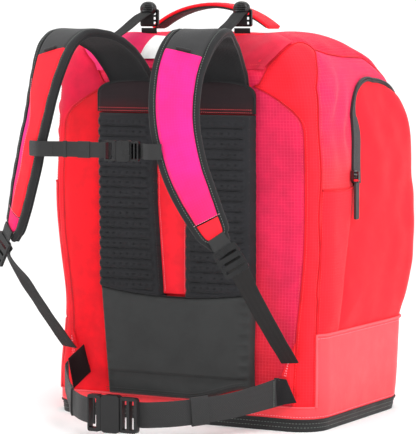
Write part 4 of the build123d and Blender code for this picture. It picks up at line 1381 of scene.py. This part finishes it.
def make_thumb(side, sign, body):
    """Rounded, ribbed thumb grip at the top of a load lifter's lock."""
    v, w = np.meshgrid(np.linspace(0, 2 * PI, 49), np.linspace(0.02, 1, 18))
    reach = np.sin(w * PI / 2)
    x = sign * 73 + 12.0 * reach * np.cos(v)
    z = 567.0 + 10.0 * reach * np.sin(v)
    rise = 7.0 * np.cos(w * PI / 2) ** 0.6 + 0.5 * np.sin(z * 2.2) * (1 - w ** 4)
    front = np.stack([x, -111.0 - rise, z], -1)
    back = np.stack([x, np.full_like(x, -108.5), z], -1)
    slab(side + "lifter_thumb", front, back, np.stack([x, z], -1), M["acetal"], body)


def make_lower_webbing(side, m):
    """From the ladder lock down to the corner tab; m mirrors the points of the left side."""
    along = unit(LOCK_DIRECTION)
    plane_x = unit(np.array(turn_to(26)) - along * (along @ np.array(turn_to(26))))
    top = LOCK + along * 8 + np.array([0, 1.5, 0])
    bend = LOCK + along * 24 + np.array([0, 6, 0])
    end = np.array([173, -160.5, 95])
    hang = np.array([0, 0, -2.2])
    points = [top, bend, bend * 0.75 + end * 0.25 + hang, (bend + end) * 0.5 + np.array([0, 0, -3]),
              bend * 0.25 + end * 0.75 + hang, end]
    across = [plane_x, plane_x] + [np.array(turn_to(angle)) for angle in (20, 18, 14, 10)]
    webbing(side + "lower_strap", np.array(points) * m, np.array(across) * m, 25.0, 1.7,
            material="dark_webbing", replaces=[side + "lower_webbing"], count=90, ripple=0.25)


def make_load_lifter(side, sign, m):
    """Webbing from the shoulder strap to its lock, the wrap and thumb grip on it, and its anchor."""
    body = side + "lifter_lock"
    dark = dict(material="dark_webbing")
    sideways = (1.0 * sign, 0, 0)
    points = [(81, -201, 519.3), (80, -190, 528), (78, -172, 537), (77, -148, 547.5), (75, -128, 557),
              (74, -117, 561)]
    cross = [np.array(turn_to(angle)) * m for angle in (14, 12, 8, 4, 0, 0)]
    lifter, *_ = webbing(side + "load_lifter_strap", np.array(points) * m, cross, 20.0, 2.0, body=None,
                         replaces=[side + "load_lifter"], count=60, ripple=0.35, **dark)
    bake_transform(lifter)
    wrap = [(73, -112.2, 562), (73, -114.4, 559), (73, -114.6, 547), (73, -112.4, 543)]
    webbing(side + "lock_wrap", np.array(wrap) * m, [sideways] * 4, 21.0, 1.8, body=body, count=20, **dark)
    make_thumb(side, sign, body)
    anchor = [(73, -97, 527.0), (73, -106.0, 530), (73, -108.8, 536), (73, -108.8, 540.5)]
    webbing(side + "lock_anchor", np.array(anchor) * m, [sideways] * 4, 24.0, 2.0, count=24,
            replaces=["load_lifter_anchors"] if sign > 0 else (), **dark)


def make_hip_belt(side, sign, m):
    """Belt webbing from the hip wing to the buckle, the padded wing, the keeper and the bar tacks."""
    belt = [(164, -170, 57), (148, -198, 51), (124, -240, 44), (99, -275, 40.5), (72, -302, 38),
            (48, -318, 37), (33, -324, 37)]
    corners = [(158, -177, 76), (169.5, -164.5, 73), (183, -161, 42), (158, -177, 38)]
    if sign < 0:
        belt[:2] = [(166, -176, 58.5), (155, -200, 55.5)]
        corners = [(167, -174, 80), (152, -156.5, 99), (141.5, -155.5, 61), (160, -171, 38)]
    belt = np.array(belt) * m
    webbing(side + "belt_strap", belt, [UPRIGHT] * 7, [38.0, 35.5] + [34.0] * 5, 2.3,
            replaces=[side + "hip_belt"], count=100, cols=17, ripple=0.3)
    wing_obj = wing_quad(side, np.array(corners) * m, "wing" if sign > 0 else "wing_inner")
    keeper = np.array([(106, -265.5, 41.4), (91, -285.5, 39.6)]) * m
    webbing(side + "belt_keeper", [keeper[0], keeper.mean(0), keeper[1]], [UPRIGHT] * 3, 38.0, 5.4,
            count=12, cols=17)
    d = unit(belt[1] - belt[0])
    out = unit(np.cross(UPRIGHT, d)) * (-1 if np.cross(UPRIGHT, d)[1] > 0 else 1)
    sewn = [belt[0] + d * k + out * 1.5 + np.linspace((0, 0, -16), (0, 0, 16), 14) for k in (4.0, 12.0)]
    stitches(side + "belt_bar_tacks", sewn, M["thread_grey"], slot="black_webbing", pitch=2.6, length=1.8,
             radius=0.35)


def make_webbings():
    for sign, side in SIDES.items():
        m = np.array([sign, 1, 1.0])
        make_lower_webbing(side, m)
        make_load_lifter(side, sign, m)
        make_hip_belt(side, sign, m)
    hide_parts("hip_belt_keepers")


def make_chest():
    z, y = 385.0, -374.0
    behind = y + 4.0
    over = [(76, y - 2.8), (83, y - 4.6), (90, y - 2.4)]
    right = [(55, behind, z), (66, behind, z)] + [(x, yy, z) for x, yy in over + [(97, y + 1.5)]]
    left = ([(19, behind + 2.2, z), (-10, behind + 2.1, z), (-44, behind + 2, z)]
            + [(-x, yy, z) for x, yy in over + [(105, y + 7.5)]])
    for pts, side, node in ((right, "right_", "right_chest_webbing"), (left, "left_", "left_chest_webbing")):
        webbing(side + "chest_band", pts, [UPRIGHT] * len(pts), 20.0, 1.9, body="chest_strap",
                replaces=[node], count=70, ripple=0.15)
    for name, x0, x1, yy in (("keeper_a", -52, -47, behind + 1.6), ("keeper_b", -30, -12, behind + 2.1)):
        webbing("chest_" + name, [(x0, yy, z), ((x0 + x1) / 2, yy, z), (x1, yy, z)], [UPRIGHT] * 3, 21.6,
                3.6, body="chest_strap", count=8)
    tacks = []
    for x, yy in ((-66, y - 0.2), (68, y + 2.0)):
        tacks.append(np.stack([np.array([x, yy - 1.6, z + k]) for k in np.linspace(-8, 8, 9)]))
    stitches("chest_bar_tacks", tacks, M["thread_black"], body="chest_strap", slot="black_webbing",
             pitch=2.6, length=1.7, radius=0.5)


def make_tabs():
    for sign in (1, -1):
        side = SIDES[sign]
        corner = [(172.5, 120), (154.5, 77), (169.5, 38)]
        loop = corner[::-1] if sign > 0 else mirrored(corner[::-1])
        cloth(side + "tab_cloth", loop, "bright_red", crown=6.5, fall=5.0, seam=2.6,
              base=0.3, thick=2.2, step=3.0, replaces=[side + "corner_tab"])
        rows = []
        for inset in (3.0, 6.0):
            inner = dense([(171 - inset * 0.4, 113 - inset), (157.5 + inset, 77)], 3, False)
            rows.append(on_skin(sign * inner[:, 0], inner[:, 1], 5.6 + inset * 0.45))
        stitches(side + "tab_stitches", rows, M["thread_pale"], slot="coral_coated_fabric", pitch=3.0,
                 length=1.9, radius=0.32)


def make_handle():
    y0, span = -50.0, 92.0
    x = np.linspace(-1, 1, 120)

    def band_rows(low, high, inset):
        chord, rise = span - inset, high - low
        radius = (chord ** 2 + rise ** 2) / (2 * rise)
        limit = math.asin(min(chord / radius, 1))
        t = x * limit
        return np.stack([radius * np.sin(t), np.zeros_like(t), high - radius + radius * np.cos(t)], 1)

    outer, inner = band_rows(543.5, 575.0, 1.0), band_rows(541.5, 568.0, 7.0)
    s = np.linspace(-1, 1, 17)
    width = 15.5 - 2.0 * bump(x, 0, 0.35)
    puff = 0.8 * (1 - np.abs(s) ** 4)
    ripple = 0.35 * np.sin(x * 60)[:, None]
    spread = np.zeros((120, 17, 3))
    spread[:, :, 1] = y0 + s[None] * width[:, None]
    top = outer[:, None] + spread
    top[..., 2] += puff[None] + ripple * 0.3
    low = inner[:, None] + spread
    middle = outer[:, None] + spread - np.array([0, 0, 4.2])
    uv = pair(s[None] * 18, length_along(outer)[:, None])
    red = slab("handle_cloth", top, middle, uv, M["strap_red"], "carry_handle")
    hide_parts("carry_handle")
    slab("handle_webbing", middle - np.array([0, 0, 0.05]), low, uv, M["webbing"], "carry_handle")
    edges = [np.stack([outer[:, 0], np.full(120, y0) + e * (width + 0.3), outer[:, 2] - 2.0], 1)
             for e in (-1, 1)]
    tubes("handle_piping", edges, 2.2, M["strap_red"], "carry_handle", sides=10)


def make_thread_loop(side):
    """Red thread wound round the head of a zip pull."""
    lo, hi = (1000 * np.array(c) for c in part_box(side + "zip_pull"))
    t = np.linspace(0, 2 * PI, 41)
    across, out = (lo + hi) / 2, (hi - lo) / 2 + 0.7
    rings = [np.stack([across[0] + out[0] * np.cos(t), across[1] + out[1] * np.sin(t),
                       0 * t + hi[2] - drop], 1) for drop in (6.0, 7.4)]
    tubes(side + "pull_thread", rings, 0.75, M["bright_red"], side + "zip_pull", sides=8)


def make_hardware():
    finishes = {"acetal_matt": (1.3, ("hip_buckle_socket", "hip_buckle_plug")),
                "acetal": (1.2,
                           ("chest_buckle_socket", "chest_buckle_plug", "right_lifter_lock",
                            "left_lifter_lock")), "tray": (0.0, ("base_tray",)),
                "sheet": (0.0, ("frame_sheet", "right_boot_divider", "left_boot_divider")),
                "zip_metal": (0.0, ("frame_stays",)), }
    for material, (bevel, names) in finishes.items():
        for name in names:
            finish_node(name, material, bevel)
    for side in SIDES.values():
        finish_node(side + "ladder_lock", "acetal", 1.1)
    for side in ("right_", "left_", "main_"):
        finish_node(side + "zip_slider", "zip_metal", 0.5)
        finish_node(side + "zip_pull", "pull", 0.6)
        make_thread_loop(side)
    finish_node("load_lifter_anchors", "webbing", 0.0)


def finish_node(name, material, bevel):
    obj = nodes[name]
    obj.data.materials.clear()
    obj.data.materials.append(M[material])
    if bevel:
        weld = obj.modifiers.new("weld", "WELD")
        weld.merge_threshold = 0.00002
        mod = obj.modifiers.new("bevel", "BEVEL")
        mod.width, mod.segments, mod.limit_method = bevel * MM, 3, "ANGLE"
        mod.angle_limit = math.radians(50)
        mod.harden_normals = False


make_ribs(1)
make_ribs(-1)
make_lumbar()
make_channel()
make_yoke()
make_strap(1)
make_strap(-1)
make_webbings()
make_chest()
make_tabs()
make_handle()
make_hardware()

# ---- floor, light and camera ------------------------------------------------------------------
def make_stage():
    """A pale floor that curves up into a wall 10 m behind the bag."""
    mesh = bpy.data.meshes.new("floor")
    wide, near, flat_end, bend, wall_top = 12.0, -12.0, 8.4, 1.6, 5.0
    turns = np.linspace(0, PI / 2, 24)
    profile = [(near, 0.0)]
    profile += [(flat_end + bend * math.sin(t), bend * (1 - math.cos(t))) for t in turns]
    profile += [(flat_end + bend, wall_top)]
    verts = [(x, y, z) for y, z in profile for x in (-wide, wide)]
    faces = [(2 * i, 2 * i + 1, 2 * i + 3, 2 * i + 2) for i in range(len(profile) - 1)]
    mesh.from_pydata(verts, [], faces)
    mesh.polygons.foreach_set("use_smooth", [True] * len(faces))
    floor = bpy.data.objects.new("floor", mesh)
    bpy.context.scene.collection.objects.link(floor)
    n = Nodes("floor_paper")
    coords, _ = n.position()
    # The lamps stand close to the bag, so the far floor glows a little to look as white.
    away = n.add("ShaderNodeVectorMath", {0: coords}, operation="LENGTH").outputs["Value"]
    n.tree.links.new(n.remap(away, 1.5, 6.0, 0.0, 0.22), n.bsdf.inputs["Emission Strength"])
    n.bsdf.inputs["Emission Color"].default_value = rgb(1.0, 1.0, 1.0)
    mesh.materials.append(n.done(n.mix(n.noise(coords, 3.0), rgb(0.97, 0.97, 0.97),
                                       rgb(0.985, 0.985, 0.98)), 0.85,
                                 n.bump(n.noise(coords, 800.0), 0.0001, 0.3)))


def area_light(name, place, target, size, power):
    data = bpy.data.lights.new(name, "AREA")
    data.shape, data.size, data.size_y = "RECTANGLE", size[0], size[1]
    data.energy = power
    obj = bpy.data.objects.new(name, data)
    bpy.context.scene.collection.objects.link(obj)
    obj.location = place
    obj.rotation_mode = "QUATERNION"
    obj.rotation_quaternion = (Vector(target) - Vector(place)).to_track_quat("-Z", "Y")


def make_lights():
    world = bpy.data.worlds.new("studio")
    bpy.context.scene.world = world
    world.use_nodes = True
    world.node_tree.nodes["Background"].inputs[0].default_value = (1.0, 1.0, 1.0, 1.0)
    world.node_tree.nodes["Background"].inputs[1].default_value = 0.80
    middle = (0.0, 0.0, 0.3)
    area_light("key", (1.9, -1.9, 2.1), middle, (1.6, 1.6), 56.0)
    area_light("fill", (-2.4, -2.0, 1.3), middle, (2.0, 2.0), 34.0)
    area_light("side", (3.0, 0.6, 0.9), middle, (1.2, 1.8), 27.0)
    area_light("over", (0.0, 0.2, 2.8), middle, (2.2, 2.2), 30.0)


def make_camera():
    data = bpy.data.cameras.new("camera")
    data.sensor_width, data.lens = 36.0, LENS
    data.sensor_fit = "AUTO"
    camera = bpy.data.objects.new("camera", data)
    bpy.context.scene.collection.objects.link(camera)
    turn, drop = math.radians(AZIMUTH), math.radians(PITCH)
    look = Vector((-math.sin(turn) * math.cos(drop), math.cos(turn) * math.cos(drop), -math.sin(drop)))
    camera.location = CAMERA_PLACE
    camera.rotation_mode = "QUATERNION"
    camera.rotation_quaternion = look.to_track_quat("-Z", "Y")
    data.clip_start, data.clip_end = 0.05, 60.0
    bpy.context.scene.camera = camera


LENS = 206.07
AZIMUTH, PITCH = 28.64, 4.59
CAMERA_PLACE = (1.655, -3.1027, 0.5548)
bpy.context.scene.view_settings.view_transform = "Standard"
make_stage()
make_lights()
make_camera()
